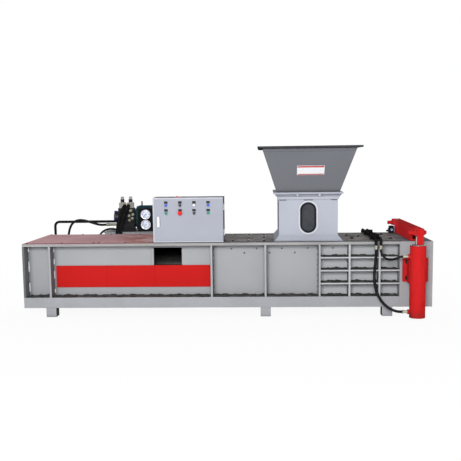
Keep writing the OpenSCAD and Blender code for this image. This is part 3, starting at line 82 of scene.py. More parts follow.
def seen_directly(tree):
    path = tree.nodes.new("ShaderNodeLightPath")
    first = add_node(tree, "ShaderNodeMath", operation="ADD", use_clamp=True)
    both = add_node(tree, "ShaderNodeMath", operation="ADD", use_clamp=True)
    join(
        tree,
        (path.outputs["Is Camera Ray"], first.inputs[0]),
        (path.outputs["Is Glossy Ray"], first.inputs[1]),
        (first.outputs[0], both.inputs[0]),
        (path.outputs["Is Transmission Ray"], both.inputs[1]),
    )
    return both.outputs[0]


room = bpy.data.worlds.new("white_room")
scene.world = room
room.use_nodes = True
tree = room.node_tree
tree.nodes.clear()
way = tree.nodes.new("ShaderNodeTexCoord")
parts = tree.nodes.new("ShaderNodeSeparateXYZ")
height = add_node(tree, "ShaderNodeMapRange", From_Min=0.0, From_Max=0.9, To_Min=0.28, To_Max=0.46)
glow = add_node(tree, "ShaderNodeBackground", Color=(0.97, 0.98, 1.0, 1))
white = add_node(tree, "ShaderNodeBackground", Color=(1, 1, 1, 1), Strength=1.0)
pick = tree.nodes.new("ShaderNodeMixShader")
out = tree.nodes.new("ShaderNodeOutputWorld")
join(
    tree,
    (way.outputs["Generated"], parts.inputs[0]),
    (parts.outputs["Z"], height.inputs["Value"]),
    (height.outputs[0], glow.inputs["Strength"]),
    (seen_directly(tree), pick.inputs[0]),
    (glow.outputs[0], pick.inputs[1]),
    (white.outputs[0], pick.inputs[2]),
    (pick.outputs[0], out.inputs[0]),
)


def soft_lamp(name, place, aim, width, height, watts):
    lamp = bpy.data.objects.new(name, bpy.data.lights.new(name, "AREA"))
    scene.collection.objects.link(lamp)
    lamp.data.shape = "RECTANGLE"
    lamp.data.size = width
    lamp.data.size_y = height
    lamp.data.energy = watts
    lamp.location = place
    lamp.rotation_euler = (Vector(aim) - Vector(place)).to_track_quat("-Z", "Y").to_euler()


soft_lamp("front_lamp", (-0.3, -7.4, 2.7), (0.1, 0, 0.6), 2.6, 1.8, 400)
soft_lamp("rear_lamp", (0.8, 7.4, 3.2), (0, 0, 0.6), 3.0, 2.0, 360)
soft_lamp("left_lamp", (-7.6, 1.4, 3.0), (0, 0, 0.6), 2.4, 1.8, 150)
soft_lamp("right_lamp", (7.6, 1.4, 3.0), (0, 0, 0.6), 2.4, 1.8, 110)

bm = bmesh.new()
bmesh.ops.create_circle(bm, cap_ends=True, segments=96, radius=14)
mesh = bpy.data.meshes.new("floor")
bm.to_mesh(mesh)
bm.free()
floor = bpy.data.objects.new("floor", mesh)
scene.collection.objects.link(floor)
paper = bpy.data.materials.new("floor_paper")
paper.use_nodes = True
tree = paper.node_tree
tree.nodes.clear()
way = tree.nodes.new("ShaderNodeTexCoord")
reach = add_node(tree, "ShaderNodeVectorMath", operation="LENGTH")
lift = add_node(tree, "ShaderNodeMapRange", From_Min=1.6, From_Max=5.0, To_Min=0.93, To_Max=1.0)
often = add_node(tree, "ShaderNodeMath", operation="MULTIPLY")
matte = add_node(tree, "ShaderNodeBsdfDiffuse", Color=(0.84, 0.84, 0.84, 1))
plain = add_node(tree, "ShaderNodeEmission", Color=(1, 1, 1, 1), Strength=1.0)
pick = tree.nodes.new("ShaderNodeMixShader")
out = tree.nodes.new("ShaderNodeOutputMaterial")
join(
    tree,
    (way.outputs["Object"], reach.inputs[0]),
    (reach.outputs["Value"], lift.inputs["Value"]),
    (lift.outputs[0], often.inputs[0]),
    (seen_directly(tree), often.inputs[1]),
    (often.outputs[0], pick.inputs[0]),
    (matte.outputs[0], pick.inputs[1]),
    (plain.outputs[0], pick.inputs[2]),
    (pick.outputs[0], out.inputs[0]),
)
mesh.materials.append(paper)


# Bed: flame-cut steel plate, welded into a long ribbed box on two square-tube skids, and
# sprayed grey all over. Upward faces are darkened in patches, partly dust and partly painted
# shade; rib and skid sides and the inside of the box are painted dark as painted shade.
def tint(tree, share, under, over):
    mix = tree.nodes.new("ShaderNodeMix")
    mix.data_type = "RGBA"
    for into, value in ((mix.inputs[0], share), (mix.inputs[6], under), (mix.inputs[7], over)):
        if isinstance(value, bpy.types.NodeSocket):
            tree.links.new(value, into)
        elif isinstance(value, tuple):
            into.default_value = (*value, 1)
        else:
            into.default_value = value
    return mix.outputs[2]


def clouds(tree, scale, detail=4.0, stretch=(1, 1, 1)):
    way = tree.nodes.new("ShaderNodeTexCoord")
    turn = add_node(tree, "ShaderNodeMapping", Scale=stretch)
    noise = add_node(tree, "ShaderNodeTexNoise", Scale=scale, Detail=detail, Roughness=0.6)
    join(
        tree,
        (way.outputs["Object"], turn.inputs["Vector"]),
        (turn.outputs[0], noise.inputs["Vector"]),
    )
    return noise.outputs[0]


def between(tree, value, low, high, start=0.0, end=1.0):
    ramp = add_node(
        tree, "ShaderNodeMapRange", From_Min=low, From_Max=high, To_Min=start, To_Max=end
    )
    tree.links.new(value, ramp.inputs["Value"])
    return ramp.outputs[0]


def patchy(tree, scale, detail, low, high, start=0.0, end=1.0, stretch=(1, 1, 1)):
    return between(tree, clouds(tree, scale, detail, stretch), low, high, start, end)


def times(tree, *factors):
    product = factors[0]
    for factor in factors[1:]:
        node = add_node(tree, "ShaderNodeMath", operation="MULTIPLY")
        join(tree, (product, node.inputs[0]), (factor, node.inputs[1]))
        product = node.outputs[0]
    return product


def place(tree, axis, source="Object"):
    way = tree.nodes.new("ShaderNodeTexCoord")
    parts = tree.nodes.new("ShaderNodeSeparateXYZ")
    tree.links.new(way.outputs[source], parts.inputs[0])
    return parts.outputs[axis]


def along(tree, axis, low, high, start=0.0, end=1.0):
    return between(tree, place(tree, axis), low, high, start, end)


def facing(tree, axis, low, high, start=0.0, end=1.0):
    return between(tree, place(tree, axis, "Normal"), low, high, start, end)


def within(tree, axis, low, high, blur=0.0004):
    over = along(tree, axis, low - blur, low + blur)
    under = along(tree, axis, high + blur, high - blur)
    return times(tree, over, under)


# Darkens hollows found by ambient occlusion: grime, and painted shade in corners and creases.
def grime_and_shade(tree, reach, most):
    hollow = add_node(tree, "ShaderNodeAmbientOcclusion", samples=6, Distance=reach)
    return between(tree, hollow.outputs["AO"], 0.85, 0.2, 0.0, most)


def roughen(tree, coat, low, high, bumps, depth, soften=0.0):
    wear = patchy(tree, 7, 5, 0.3, 0.7, low, high)
    grain = clouds(tree, bumps, 3)
    bump = add_node(tree, "ShaderNodeBump", Strength=0.35, Distance=depth)
    join(
        tree,
        (wear, coat.inputs["Roughness"]),
        (grain, bump.inputs["Height"]),
        (bump.outputs[0], coat.inputs["Normal"]),
    )
    if not soften:
        return None
    rounded = add_node(tree, "ShaderNodeBevel", samples=4, Radius=soften)
    shape = tree.nodes.new("ShaderNodeNewGeometry")
    even = add_node(tree, "ShaderNodeVectorMath", operation="DOT_PRODUCT")
    join(
        tree,
        (rounded.outputs[0], bump.inputs["Normal"]),
        (rounded.outputs[0], even.inputs[0]),
        (shape.outputs["Normal"], even.inputs[1]),
    )
    return between(tree, even.outputs["Value"], 0.995, 0.86)


def paint_over(finish, share, colour):
    tree = finish.node_tree
    skin = tree.nodes["Principled BSDF"].inputs["Base Color"]
    tree.links.new(tint(tree, share, skin.links[0].from_socket, colour), skin)


def bare_finish(name, gloss, metallic=0.0):
    finish = bpy.data.materials.new(name)
    finish.use_nodes = True
    coat = finish.node_tree.nodes["Principled BSDF"]
    coat.inputs["Specular IOR Level"].default_value = gloss
    coat.inputs["Metallic"].default_value = metallic
    return finish, finish.node_tree, coat


# Near-black used for grime and dust and for painted shade.
soot_and_shade = (0.040, 0.038, 0.036)


def enamel(
    name,
    colour,
    dull,
    cover=0.5,
    blotch=2.2,
    low=0.36,
    high=0.54,
    dirt_and_shade=0.55,
    reach=0.05,
    top_shade_and_dust=0.0,
    gloss=0.0,
    bare=(0.20, 0.19, 0.185),
):
    finish, tree, coat = bare_finish(name, gloss)
    edge = roughen(tree, coat, low, high, 420, 0.0006, soften=0.004)
    paint = tint(tree, patchy(tree, blotch, 6, 0.38, 0.72, 0, cover), colour, dull)
    runs = patchy(tree, 9, 4, 0.55, 0.8, 0, 0.22, (1, 1, 0.12))
    paint = tint(tree, runs, paint, dull)
    specks = patchy(tree, 150, 2, 0.68, 0.76, 0, 0.3)
    paint = tint(tree, specks, paint, tuple(c * 0.45 for c in colour))
    # Rounded edges are painted lighter in patches: partly rubbed paint, partly a painted
    # highlight.
    rubbed = patchy(tree, 18, 3, 0.3, 0.6, 0.1, 0.6)
    worn_edge_highlight = tuple(min(0.9, c * 1.22 + 0.02) for c in colour)
    paint = tint(tree, times(tree, edge, rubbed), paint, worn_edge_highlight)
    chips = patchy(tree, 46, 5, 0.56, 0.62)
    paint = tint(tree, times(tree, edge, chips), paint, bare)
    # Upward faces are painted darker in patches: dust, and painted shade on the tops.
    if top_shade_and_dust:
        upward = facing(tree, "Z", 0.6, 0.9)
        dark_patches = patchy(tree, 11, 5, 0.25, 0.6, 0.55 * top_shade_and_dust, top_shade_and_dust)
        paint = tint(tree, times(tree, upward, dark_patches), paint, soot_and_shade)
    paint = tint(tree, grime_and_shade(tree, reach, dirt_and_shade), paint, soot_and_shade)
    tree.links.new(paint, coat.inputs["Base Color"])
    return finish


bed_middle = -0.171
inner_half = 0.30435


# Paints the inside of the bed box near black: painted shade inside the closed box.
def shaded_inside(finish):
    tree = finish.node_tree
    across = add_node(tree, "ShaderNodeMath", operation="ADD")
    across.inputs[1].default_value = -bed_middle
    width = add_node(tree, "ShaderNodeMath", operation="ABSOLUTE")
    join(tree, (place(tree, "Y"), across.inputs[0]), (across.outputs[0], width.inputs[0]))
    between_walls = between(tree, width.outputs[0], inner_half + 0.00025, inner_half - 0.00025)
    under = along(tree, "Z", 0.6458, 0.6452)
    above = along(tree, "Z", 0.1790, 0.1798)
    ahead = along(tree, "X", -1.8215, -1.8210)
    inside_shade = tint(tree, clouds(tree, 6, 5), (0.010, 0.009, 0.008), (0.024, 0.022, 0.020))
    paint_over(finish, times(tree, between_walls, under, above, ahead), inside_shade)


# Paints faces turned to the ends darker in patches: painted shade on the sides of ribs, skids,
# legs and the throat.
def side_shade(finish, share, low=-1.83, high=1.6):
    tree = finish.node_tree
    lean = add_node(tree, "ShaderNodeMath", operation="ABSOLUTE")
    tree.links.new(place(tree, "X", "Normal"), lean.inputs[0])
    inner = times(
        tree,
        along(tree, "X", low, low + 0.001),
        along(tree, "X", high, high - 0.001),
    )
    sideways = between(tree, lean.outputs[0], 0.7, 0.9)
    dark_patches = patchy(tree, 12, 5, 0.25, 0.6, 0.8 * share, share)
    paint_over(finish, times(tree, sideways, inner, dark_patches), soot_and_shade)


def wear_finish(finish, *names):
    for name in names:
        for spot in cad[name].material_slots:
            spot.material = finish


def ease(width, *names):
    for name in names:
        weld = cad[name].modifiers.new("merged", "WELD")
        weld.merge_threshold = 0.00002
        bevel = cad[name].modifiers.new("eased", "BEVEL")
        bevel.width = width
        bevel.segments = 2
        bevel.limit_method = "ANGLE"
        bevel.angle_limit = math.radians(50)
        bevel.harden_normals = True


wall_grey = enamel(
    "wall_grey", (0.392, 0.40, 0.417), (0.335, 0.343, 0.357), dirt_and_shade=0.5, reach=0.03, top_shade_and_dust=0.95
)
side_shade(wall_grey, 0.62)
tree = wall_grey.node_tree
# Painted shadow: the front edge of the left end plate is painted dark.
forward = facing(tree, "Y", -0.5, -0.8)
end_edge_shade = along(tree, "X", -1.8195, -1.8205, 0, 0.75)
paint_over(wall_grey, times(tree, forward, end_edge_shade), (0.075, 0.075, 0.08))
# Painted shadow: a dark strip on the wall beside four of the ribs, fading away from the rib.
for rib, share in ((-1.820, 0.45), (-1.583, 0.45), (-0.114, 0.35), (0.369, 0.25)):
    corner_shadow = times(
        tree,
        along(tree, "X", rib - 0.001, rib),
        along(tree, "X", rib + 0.045, rib + 0.010, 0, share),
    )
    paint_over(wall_grey, times(tree, forward, corner_shadow), (0.10, 0.10, 0.105))
# Painted shade: the sill of the service window is painted black like the dark window above it.
sill_shade = times(tree, within(tree, "X", -0.6575, -0.4005), within(tree, "Z", 0.4555, 0.4625))
paint_over(wall_grey, sill_shade, (0.010, 0.010, 0.010))
# Painted light: forward faces in the chamber bays are painted lighter, lifting the shade of the
# cells.
chamber = within(tree, "X", 0.8525, 1.5595, 0.0005)
sheer = facing(tree, "Z", 0.5, 0.2, 0, 0.8)
paint_over(wall_grey, times(tree, forward, sheer, chamber), (0.50, 0.51, 0.53))
shaded_inside(wall_grey)
skid_grey = enamel("skid_grey", (0.375, 0.384, 0.405), (0.31, 0.315, 0.33), cover=0.7, top_shade_and_dust=0.95)
side_shade(skid_grey, 0.9)
strip_grey = enamel("strip_grey", (0.37, 0.368, 0.37), (0.255, 0.25, 0.25), cover=0.7, top_shade_and_dust=0.7)
post_grey = enamel("post_grey", (0.37, 0.378, 0.395), (0.30, 0.306, 0.32), cover=0.6, top_shade_and_dust=0.75)
shaded_inside(post_grey)
wear_finish(wall_grey, "front_wall", "rear_wall", "floor_plate", "end_plate", "ribs")
wear_finish(skid_grey, "skids", "legs")
wear_finish(strip_grey, "top_flanges")
wear_finish(post_grey, "gate_posts", "gate_crossbars")
ease(0.0015, "end_plate", "ribs", "skids", "legs", "top_flanges", "gate_posts")

# Welds of the bed: short hand-laid runs in the corners of each bay, front and rear, painted
# over with the plate. Those at the left end are bright, fresh weld with a painted glint, and
# two rows of short tacks beside the second and fourth ribs are painted dark, partly painted shade.
rib_places = (-1.592, -0.123, 0.360, 0.843, 1.108, 1.373)
rib_half = 0.009
wall_front = -0.491
wall_rear = 0.149
bay_floor = 0.180
bay_roof = 0.645
bay_ends = (-1.82, *rib_places, 1.55)
bar_rise = (bay_roof - bay_floor) / 4


def put(bm, part, matrix=Matrix()):
    bmesh.ops.transform(part, matrix=matrix, verts=part.verts)
    spare = bpy.data.meshes.new("spare")
    part.to_mesh(spare)
    part.free()
    bm.from_mesh(spare)
    bpy.data.meshes.remove(spare)


def toward(start, direction):
    turn = Vector(direction).to_track_quat("Z", "Y").to_matrix().to_4x4()
    return Matrix.Translation(start) @ turn


def weld_run(bm, start, end, radius):
    start, end = Vector(start), Vector(end)
    length = (end - start).length
    run = bmesh.new()
    bmesh.ops.create_cone(
        run, cap_ends=True, segments=8, radius1=radius, radius2=radius, depth=length
    )
    long = [e for e in run.edges if abs(e.verts[0].co.z - e.verts[1].co.z) > 0.5 * length]
    ripples = max(3, round(length / 0.011))
    bmesh.ops.subdivide_edges(run, edges=long, cuts=ripples, use_grid_fill=True)
    for v in run.verts:
        swell = 0.86 + 0.2 * abs(math.sin(v.co.z / length * ripples * 1.571 + start.x * 40))
        close = min(1.0, (0.5 * length - abs(v.co.z)) / 0.008 + 0.45)
        v.co.x *= swell * close
        v.co.y *= swell * close
    put(bm, run, toward((start + end) / 2, end - start))


def piece(name, bm, finish, body, smooth=False):
    bmesh.ops.recalc_face_normals(bm, faces=bm.faces)
    mesh = bpy.data.meshes.new(name)
    bm.to_mesh(mesh)
    bm.free()
    for face in mesh.polygons:
        face.use_smooth = smooth
    if smooth:
        mesh.set_sharp_from_angle(angle=math.radians(40))
    mesh.materials.append(finish)
    obj = bpy.data.objects.new(name, mesh)
    scene.collection.objects.link(obj)
    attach(obj, body)
    return obj


weld_grey = enamel(
    "weld_grey", (0.36, 0.365, 0.38), (0.24, 0.24, 0.25), cover=0.9, blotch=14, dirt_and_shade=0.5
)
weld_bright = enamel(
    "weld_bright", (0.72, 0.73, 0.74), (0.55, 0.56, 0.57), cover=0.6, blotch=20, dirt_and_shade=0.2
)
bm = bmesh.new()
bright = bmesh.new()
for wall in (wall_front, wall_rear):
    for rib in rib_places:
        for edge in (-rib_half, rib_half):
            fresh_and_glinting = rib < -1.5 and edge > 0
            for low in (0.205, 0.335, 0.470, 0.580):
                if rib > 0.8 and low not in (0.205, 0.470):
                    continue
                weld_run(
                    bright if fresh_and_glinting else bm,
                    (rib + edge, wall, low),
                    (rib + edge, wall, low + 0.055 + 0.02 * math.sin(rib * 9 + low * 30)),
                    0.0075 if fresh_and_glinting else 0.0055,
                )
    for left, right in zip(bay_ends, bay_ends[1:]):
        rows = [bay_floor]
        if left > 0.8:
            rows += [bay_floor + bar_rise * i + 0.007 for i in (1, 2, 3)]
        for row in rows:
            count = max(2, round((right - left) / 0.17))
            step = (right - left) / count
            for i in range(count):
                start = left + step * (i + 0.18)
                weld_run(bm, (start, wall, row), (start + step * 0.52, wall, row), 0.007)
    for low, run in ((0.215, 0.085), (0.400, 0.10), (0.585, 0.05)):
        weld_run(bright, (-1.819, wall, low), (-1.819, wall, low + run), 0.008)
# Tacks painted dark: weld, with painted shade on their beads.
weld_dark = enamel("weld_dark", (0.17, 0.17, 0.178), (0.11, 0.11, 0.115), cover=0.8, blotch=20)
dashes = bmesh.new()
for wall in (wall_front, wall_rear):
    for edge in (rib_places[3] - rib_half, rib_places[1] + rib_half):
        for i in range(9):
            low = 0.200 + 0.048 * i + 0.006 * math.sin(i * 5)
            weld_run(dashes, (edge, wall, low), (edge, wall, low + 0.022), 0.0065)
piece("bed_welds", bm, weld_grey, "bed", smooth=True)
piece("dark_welds", dashes, weld_dark, "bed", smooth=True)
piece("fresh_glinting_welds", bright, weld_bright, "bed", smooth=True)

# Dirt on the ledges: dark swarf and grease that has piled up along the foot of each bay wall
# and on the chamber bars, thickest where the bars meet the wall. Their near-black colour is
# partly painted shade at the foot of the walls.
ledge_soot_and_shade = enamel(
    "ledge_soot_and_shade", (0.070, 0.067, 0.064), (0.038, 0.036, 0.034), blotch=60, low=0.8, high=0.95
)
bm = bmesh.new()
for wall, side in ((wall_front, -1), (wall_rear, 1)):
    for left, right in zip(bay_ends, bay_ends[1:]):
        rows = [(bay_floor, 0.050)]
        if left > 0.8:
            rows += [(bay_floor + bar_rise * i + 0.006, 0.042) for i in (1, 2, 3)]
        for row, reach in rows:
            heap = bmesh.new()
            bmesh.ops.create_cube(heap, size=1)
            long = [e for e in heap.edges if abs(e.verts[0].co.x - e.verts[1].co.x) > 0.5]
            steps = round((right - left - 0.03) / 0.012)
            bmesh.ops.subdivide_edges(heap, edges=long, cuts=steps - 1, use_grid_fill=True)
            for v in heap.verts:
                x = left + 0.012 + (right - left - 0.024) * (v.co.x + 0.5)
                swell = math.sin(x * 31 + row * 50) + math.sin(x * 73 + row * 9)
                swell += 0.7 * math.sin(x * 171)
                tall = 0.004 + 0.0032 * max(0.0, 1.1 + swell)
                deep = reach * (0.66 + 0.13 * swell)
                if v.co.y < 0:
                    away, up = 0.0002, tall if v.co.z > 0 else 0.0
                elif v.co.z > 0:
                    away, up = deep * 0.5, tall * 0.55
                else:
                    away, up = deep, 0.0002
                v.co = (x, wall + side * away, row + up)
            put(bm, heap)
piece("ledge_dirt_and_shade", bm, ledge_soot_and_shade, "bed", smooth=True)


# Liner bolts: flat-headed bolts that hold the wear plates inside the feed bays, in a
# zigzag along the top of the wall, with their heads left bare and dark.
def metal(
    name, colour, shade, low=0.25, high=0.45, scale=30, stretch=(1, 1, 1), metallic=1.0, gloss=0.5
):
    finish, tree, coat = bare_finish(name, gloss, metallic)
    skin = tint(tree, patchy(tree, scale, 6, 0.35, 0.7, stretch=stretch), colour, shade)
    skin = tint(tree, grime_and_shade(tree, 0.02, 0.6), skin, (0.02, 0.018, 0.016))
    tree.links.new(skin, coat.inputs["Base Color"])
    roughen(tree, coat, low, high, 600, 0.0004)
    return finish


def hex_bolt(bm, spot, direction, across, height, washer=True):
    bolt = bmesh.new()
    rise = 0.0
    if washer:
        rise = across * 0.12
        bmesh.ops.create_cone(
            bolt,
            cap_ends=True,
            segments=16,
            radius1=across * 0.98,
            radius2=across * 0.95,
            depth=rise,
            matrix=Matrix.Translation((0, 0, rise / 2)),
        )
    bmesh.ops.create_cone(
        bolt,
        cap_ends=True,
        segments=6,
        radius1=across * 0.577,
        radius2=across * 0.577,
        depth=height,
        matrix=Matrix.Translation((0, 0, rise + height / 2)),
    )
    top = rise + height * 0.9
    crown = [f for f in bolt.faces if f.normal.z > 0.9 and f.calc_center_median().z > top]
    bmesh.ops.inset_region(bolt, faces=crown, thickness=across * 0.07, depth=height * 0.12)
    put(bm, bolt, toward(spot, direction))


black_bolt = metal(
    "black_bolt", (0.030, 0.029, 0.028), (0.012, 0.012, 0.012), 0.4, 0.65, metallic=0.0, gloss=0.04
)
faint_bolt = metal(
    "faint_bolt", (0.10, 0.10, 0.10), (0.05, 0.05, 0.05), 0.4, 0.65, metallic=0.0, gloss=0.03
)
bm = bmesh.new()
liner_rows = [(x, 0.603) for x in (0.053, 0.282, 0.511, 0.744, 0.969)]
liner_rows += [(x, 0.564) for x in (0.169, 0.398, 0.627)]
for x, z in liner_rows:
    for wall, side in ((wall_front, -1), (wall_rear, 1)):
        hex_bolt(bm, (x, wall, z), (0, side, 0), 0.013, 0.005, washer=False)
piece("liner_bolts", bm, faint_bolt, "bed")

# Deck: thick roof plates over the ram and the chamber, walked on, black with oil and scuffed,
# with a bolted hatch over the ram and hexagon bolts over the chamber.
deck_worn = enamel(
    "deck_worn",
    (0.27, 0.26, 0.255),
    (0.12, 0.114, 0.11),
    cover=0.95,
    blotch=5,
    low=0.6,
    high=0.85,
    dirt_and_shade=0.7,
)
shaded_inside(deck_worn)
tree = deck_worn.node_tree
paint_over(deck_worn, patchy(tree, 3, 8, 0.56, 0.66, 0, 0.4, (0.4, 5, 1)), (0.26, 0.25, 0.24))
paint_over(deck_worn, patchy(tree, 10, 6, 0.60, 0.70, 0, 0.7), (0.20, 0.065, 0.045))
paint_over(deck_worn, patchy(tree, 14, 3, 0.60, 0.68, 0, 0.7, (1, 0.3, 1)), (0.028, 0.026, 0.025))
wear_finish(deck_worn, "roof_plates")


def round_edges(part, edges, width, rounds):
    bmesh.ops.bevel(
        part,
        geom=edges,
        offset=width,
        offset_type="OFFSET",
        segments=rounds,
        profile=0.5,
        affect="EDGES",
        material=-1,
    )


def slab(bm, low, high, edge=0.001, rounds=2, matrix=Matrix()):
    low, high = Vector(low), Vector(high)
    part = bmesh.new()
    bmesh.ops.create_cube(part, size=1)
    bmesh.ops.scale(part, vec=high - low, verts=part.verts)
    bmesh.ops.translate(part, vec=(low + high) / 2, verts=part.verts)
    round_edges(part, list(part.edges), edge, rounds)
    put(bm, part, matrix)


deck_top = 0.670
hatch_top = deck_top + 0.004
bm = bmesh.new()
slab(bm, (0.048, -0.516, deck_top), (0.367, 0.099, hatch_top))
slab(bm, (0.168, -0.240, hatch_top), (0.248, -0.228, hatch_top + 0.006), edge=0.002)
piece("deck_hatch", bm, deck_worn, "bed")
bm = bmesh.new()
for x in (0.066, 0.208, 0.349):
    for y in (-0.498, -0.209, 0.081):
        hex_bolt(bm, (x, y, hatch_top), (0, 0, 1), 0.016, 0.007)
chamber_bolts = (
    (1.137, -0.036),
    (1.159, -0.329),
    (1.239, -0.145),
    (1.430, 0.146),
    (1.477, 0.035),
    (1.507, -0.360),
)
for x, y in chamber_bolts:
    hex_bolt(bm, (x, y, deck_top), (0, 0, 1), 0.024, 0.009)
piece("deck_bolts", bm, black_bolt, "bed")

# Tread covers: two thin plates over the main cylinder, painted red long ago and faded to
# pink, still red along the front edge and worn through near the cabinet. They are bolted
# down, and a grey strip closes the gap under them at the left end.
cover_pink = enamel(
    "cover_pink",
    (0.525, 0.328, 0.342),
    (0.435, 0.258, 0.267),
    cover=0.8,
    blotch=1.6,
    low=0.5,
    high=0.7,
    bare=(0.32, 0.07, 0.075),
)
tree = cover_pink.node_tree
paint_over(cover_pink, along(tree, "Y", -0.578, -0.605, 0, 0.95), (0.24, 0.062, 0.078))
worn_end = along(tree, "X", -1.15, -0.85)
paint_over(
    cover_pink, times(tree, worn_end, patchy(tree, 5, 6, 0.40, 0.54, 0, 0.85)), (0.27, 0.12, 0.085)
)
paint_over(
    cover_pink, times(tree, worn_end, patchy(tree, 7, 4, 0.58, 0.66, 0, 0.5)), (0.52, 0.44, 0.44)
)
paint_over(cover_pink, patchy(tree, 26, 4, 0.64, 0.70, 0, 0.5, (0.3, 2, 1)), (0.30, 0.16, 0.16))
wear_finish(cover_pink, "deck_covers")
cover_top = deck_top + 0.004
bm = bmesh.new()
for x in (-1.80, -1.48, -1.19, -1.14, -0.90, -0.68):
    for y in (-0.585, 0.243):
        hex_bolt(bm, (x, y, cover_top), (0, 0, 1), 0.014, 0.005, washer=False)
piece("cover_bolts", bm, faint_bolt, "bed")
bm = bmesh.new()
slab(bm, (-1.8395, -0.4745, 0.6446), (-1.8205, 0.1325, deck_top - 0.0004), 0.0015, 2)
piece("end_strip", bm, strip_grey, "bed")

# Side panel: three lengths of red sheet that close the lower half of the cylinder bay,
# butted end to end on the wall with a screw at each corner.
panel_red = enamel(
    "panel_red",
    (0.56, 0.018, 0.017),
    (0.49, 0.014, 0.013),
    cover=0.6,
    dirt_and_shade=0.3,
    bare=(0.30, 0.02, 0.02),
)
tree = panel_red.node_tree
for seam in (-1.095, -0.650):
    line = within(tree, "X", seam - 0.0014, seam + 0.0014)
    paint_over(panel_red, line, (0.36, 0.012, 0.012))
wear_finish(panel_red, "side_panel")
bm = bmesh.new()
panel_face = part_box("side_panel")[0].y
for x in (-1.545, -1.33, -1.108, -1.082, -0.87, -0.663, -0.637, -0.40, -0.150):
    for z in (0.270, 0.442):
        hex_bolt(bm, (x, panel_face, z), (0, -1, 0), 0.009, 0.003, washer=False)
piece("panel_screws", bm, panel_red, "bed")

# Main cylinder and ram: a turned barrel with a flanged foot and gland, a chromed rod, and a
# welded box ram whose faces are polished by the chips it pushes. The gate is a bare plate, and
# the lift rods are chromed up to their plain steel eyes.
oily_steel = metal(
    "oily_steel",
    (0.030, 0.029, 0.028),
    (0.012, 0.012, 0.011),
    0.4,
    0.6,
    12,
    metallic=0.3,
    gloss=0.2,
)
scraped_steel = metal(
    "scraped_steel", (0.33, 0.33, 0.335), (0.21, 0.206, 0.20), 0.3, 0.5, 8, (0.25, 14, 14)
)
rod_chrome = metal("rod_chrome", (0.72, 0.72, 0.74), (0.58, 0.58, 0.60), 0.08, 0.16, 5)
gate_steel = metal(
    "gate_steel",
    (0.13, 0.128, 0.125),
    (0.045, 0.042, 0.040),
    0.35,
    0.6,
    10,
    (3, 3, 0.3),
    metallic=0.6,
)
wear_finish(oily_steel, "main_barrel")
wear_finish(gate_steel, "gate_plate")
wear_finish(rod_chrome, "main_rod")
eye_steel = rod_chrome.copy()
eye_steel.name = "eye_steel"
tree = eye_steel.node_tree
coat = tree.nodes["Principled BSDF"]
at_eye = along(tree, "Z", 0.7225, 0.7235)
paint_over(eye_steel, at_eye, (0.13, 0.126, 0.122))
tree.links.new(between(tree, at_eye, 0, 1, 0.12, 0.6), coat.inputs["Roughness"])
tree.links.new(between(tree, at_eye, 0, 1, 1.0, 0.3), coat.inputs["Metallic"])
tree.links.new(between(tree, at_eye, 0, 1, 0.5, 0.05), coat.inputs["Specular IOR Level"])
wear_finish(eye_steel, "lift_rods")
wear_finish(scraped_steel, "ram", "ram_pin", "lift_glands")
ease(0.0012, "lift_glands", "gate_plate")

# Crosshead and lift cylinders: a red fabricated beam pinned to two upright cylinders, which
# lift the gate. Barrels stand in saddles bolted to the posts.
gate_red = enamel(
    "gate_red",
    (0.59, 0.0195, 0.0205),
    (0.47, 0.013, 0.014),
    cover=0.5,
    dirt_and_shade=0.4,
    reach=0.03,
    low=0.34,
    high=0.48,
    top_shade_and_dust=0.45,
    bare=(0.14, 0.03, 0.03),
)
tree = gate_red.node_tree
paint_over(gate_red, patchy(tree, 10, 5, 0.58, 0.70, 0, 0.45, (2, 2, 0.5)), (0.26, 0.012, 0.014))
foot = times(tree, along(tree, "Z", 0.10, 0.02), patchy(tree, 12, 4, 0.35, 0.6, 0.2, 0.8))
paint_over(gate_red, foot, (0.06, 0.022, 0.02))
wear_finish(gate_red, "crosshead_pins", "lift_barrels", "lift_brackets")
beam_red = gate_red.copy()
beam_red.name = "beam_red"
tree = beam_red.node_tree
# Painted light: the faces turned to the left end are painted a lighter red.
paint_over(beam_red, facing(tree, "X", -0.5, -0.9, 0, 0.7), (0.86, 0.040, 0.045))
wear_finish(beam_red, "crosshead")
ease(0.0015, "crosshead", "lift_brackets", "crosshead_pins")
lift_axes = ((1.685, -0.731), (1.685, 0.389))
gland_top = 0.651
bolt_ring = 0.050
bm = bmesh.new()
for side, face in ((-1, -0.626), (1, 0.284)):
    for x in (1.614, 1.754):
        for z in (0.347, 0.491):
            hex_bolt(bm, (x, face, z), (0, side, 0), 0.022, 0.012)
for x, y in lift_axes:
    for i in range(6):
        turn = math.radians(30 + 60 * i)
        spot = (x + bolt_ring * math.cos(turn), y + bolt_ring * math.sin(turn), gland_top)
        hex_bolt(bm, spot, (0, 0, 1), 0.012, 0.0022, washer=False)
piece("bracket_bolts", bm, black_bolt, "bed")


# Limit switch: a small black box screwed to the rear lintel beside the crosshead, with a
# roller arm that the beam leaves when it rises and a pale lens in front.
def plastic(name, colour, low=0.25, high=0.4, gloss=0.25):
    finish, tree, coat = bare_finish(name, gloss)
    worn = tuple(c * 0.8 for c in colour)
    tree.links.new(
        tint(tree, patchy(tree, 60, 4, 0.4, 0.75), colour, worn), coat.inputs["Base Color"]
    )
    roughen(tree, coat, low, high, 900, 0.0002)
    return finish


def rod(bm, start, end, radius, sides=20, edge=0.0):
    start, end = Vector(start), Vector(end)
    part = bmesh.new()
    length = (end - start).length
    bmesh.ops.create_cone(
        part, cap_ends=True, segments=sides, radius1=radius, radius2=radius, depth=length
    )
    if edge:
        rims = [e for e in part.edges if abs(e.verts[0].co.z - e.verts[1].co.z) < 1e-6]
        round_edges(part, rims, edge, 2)
    put(bm, part, toward((start + end) / 2, end - start))


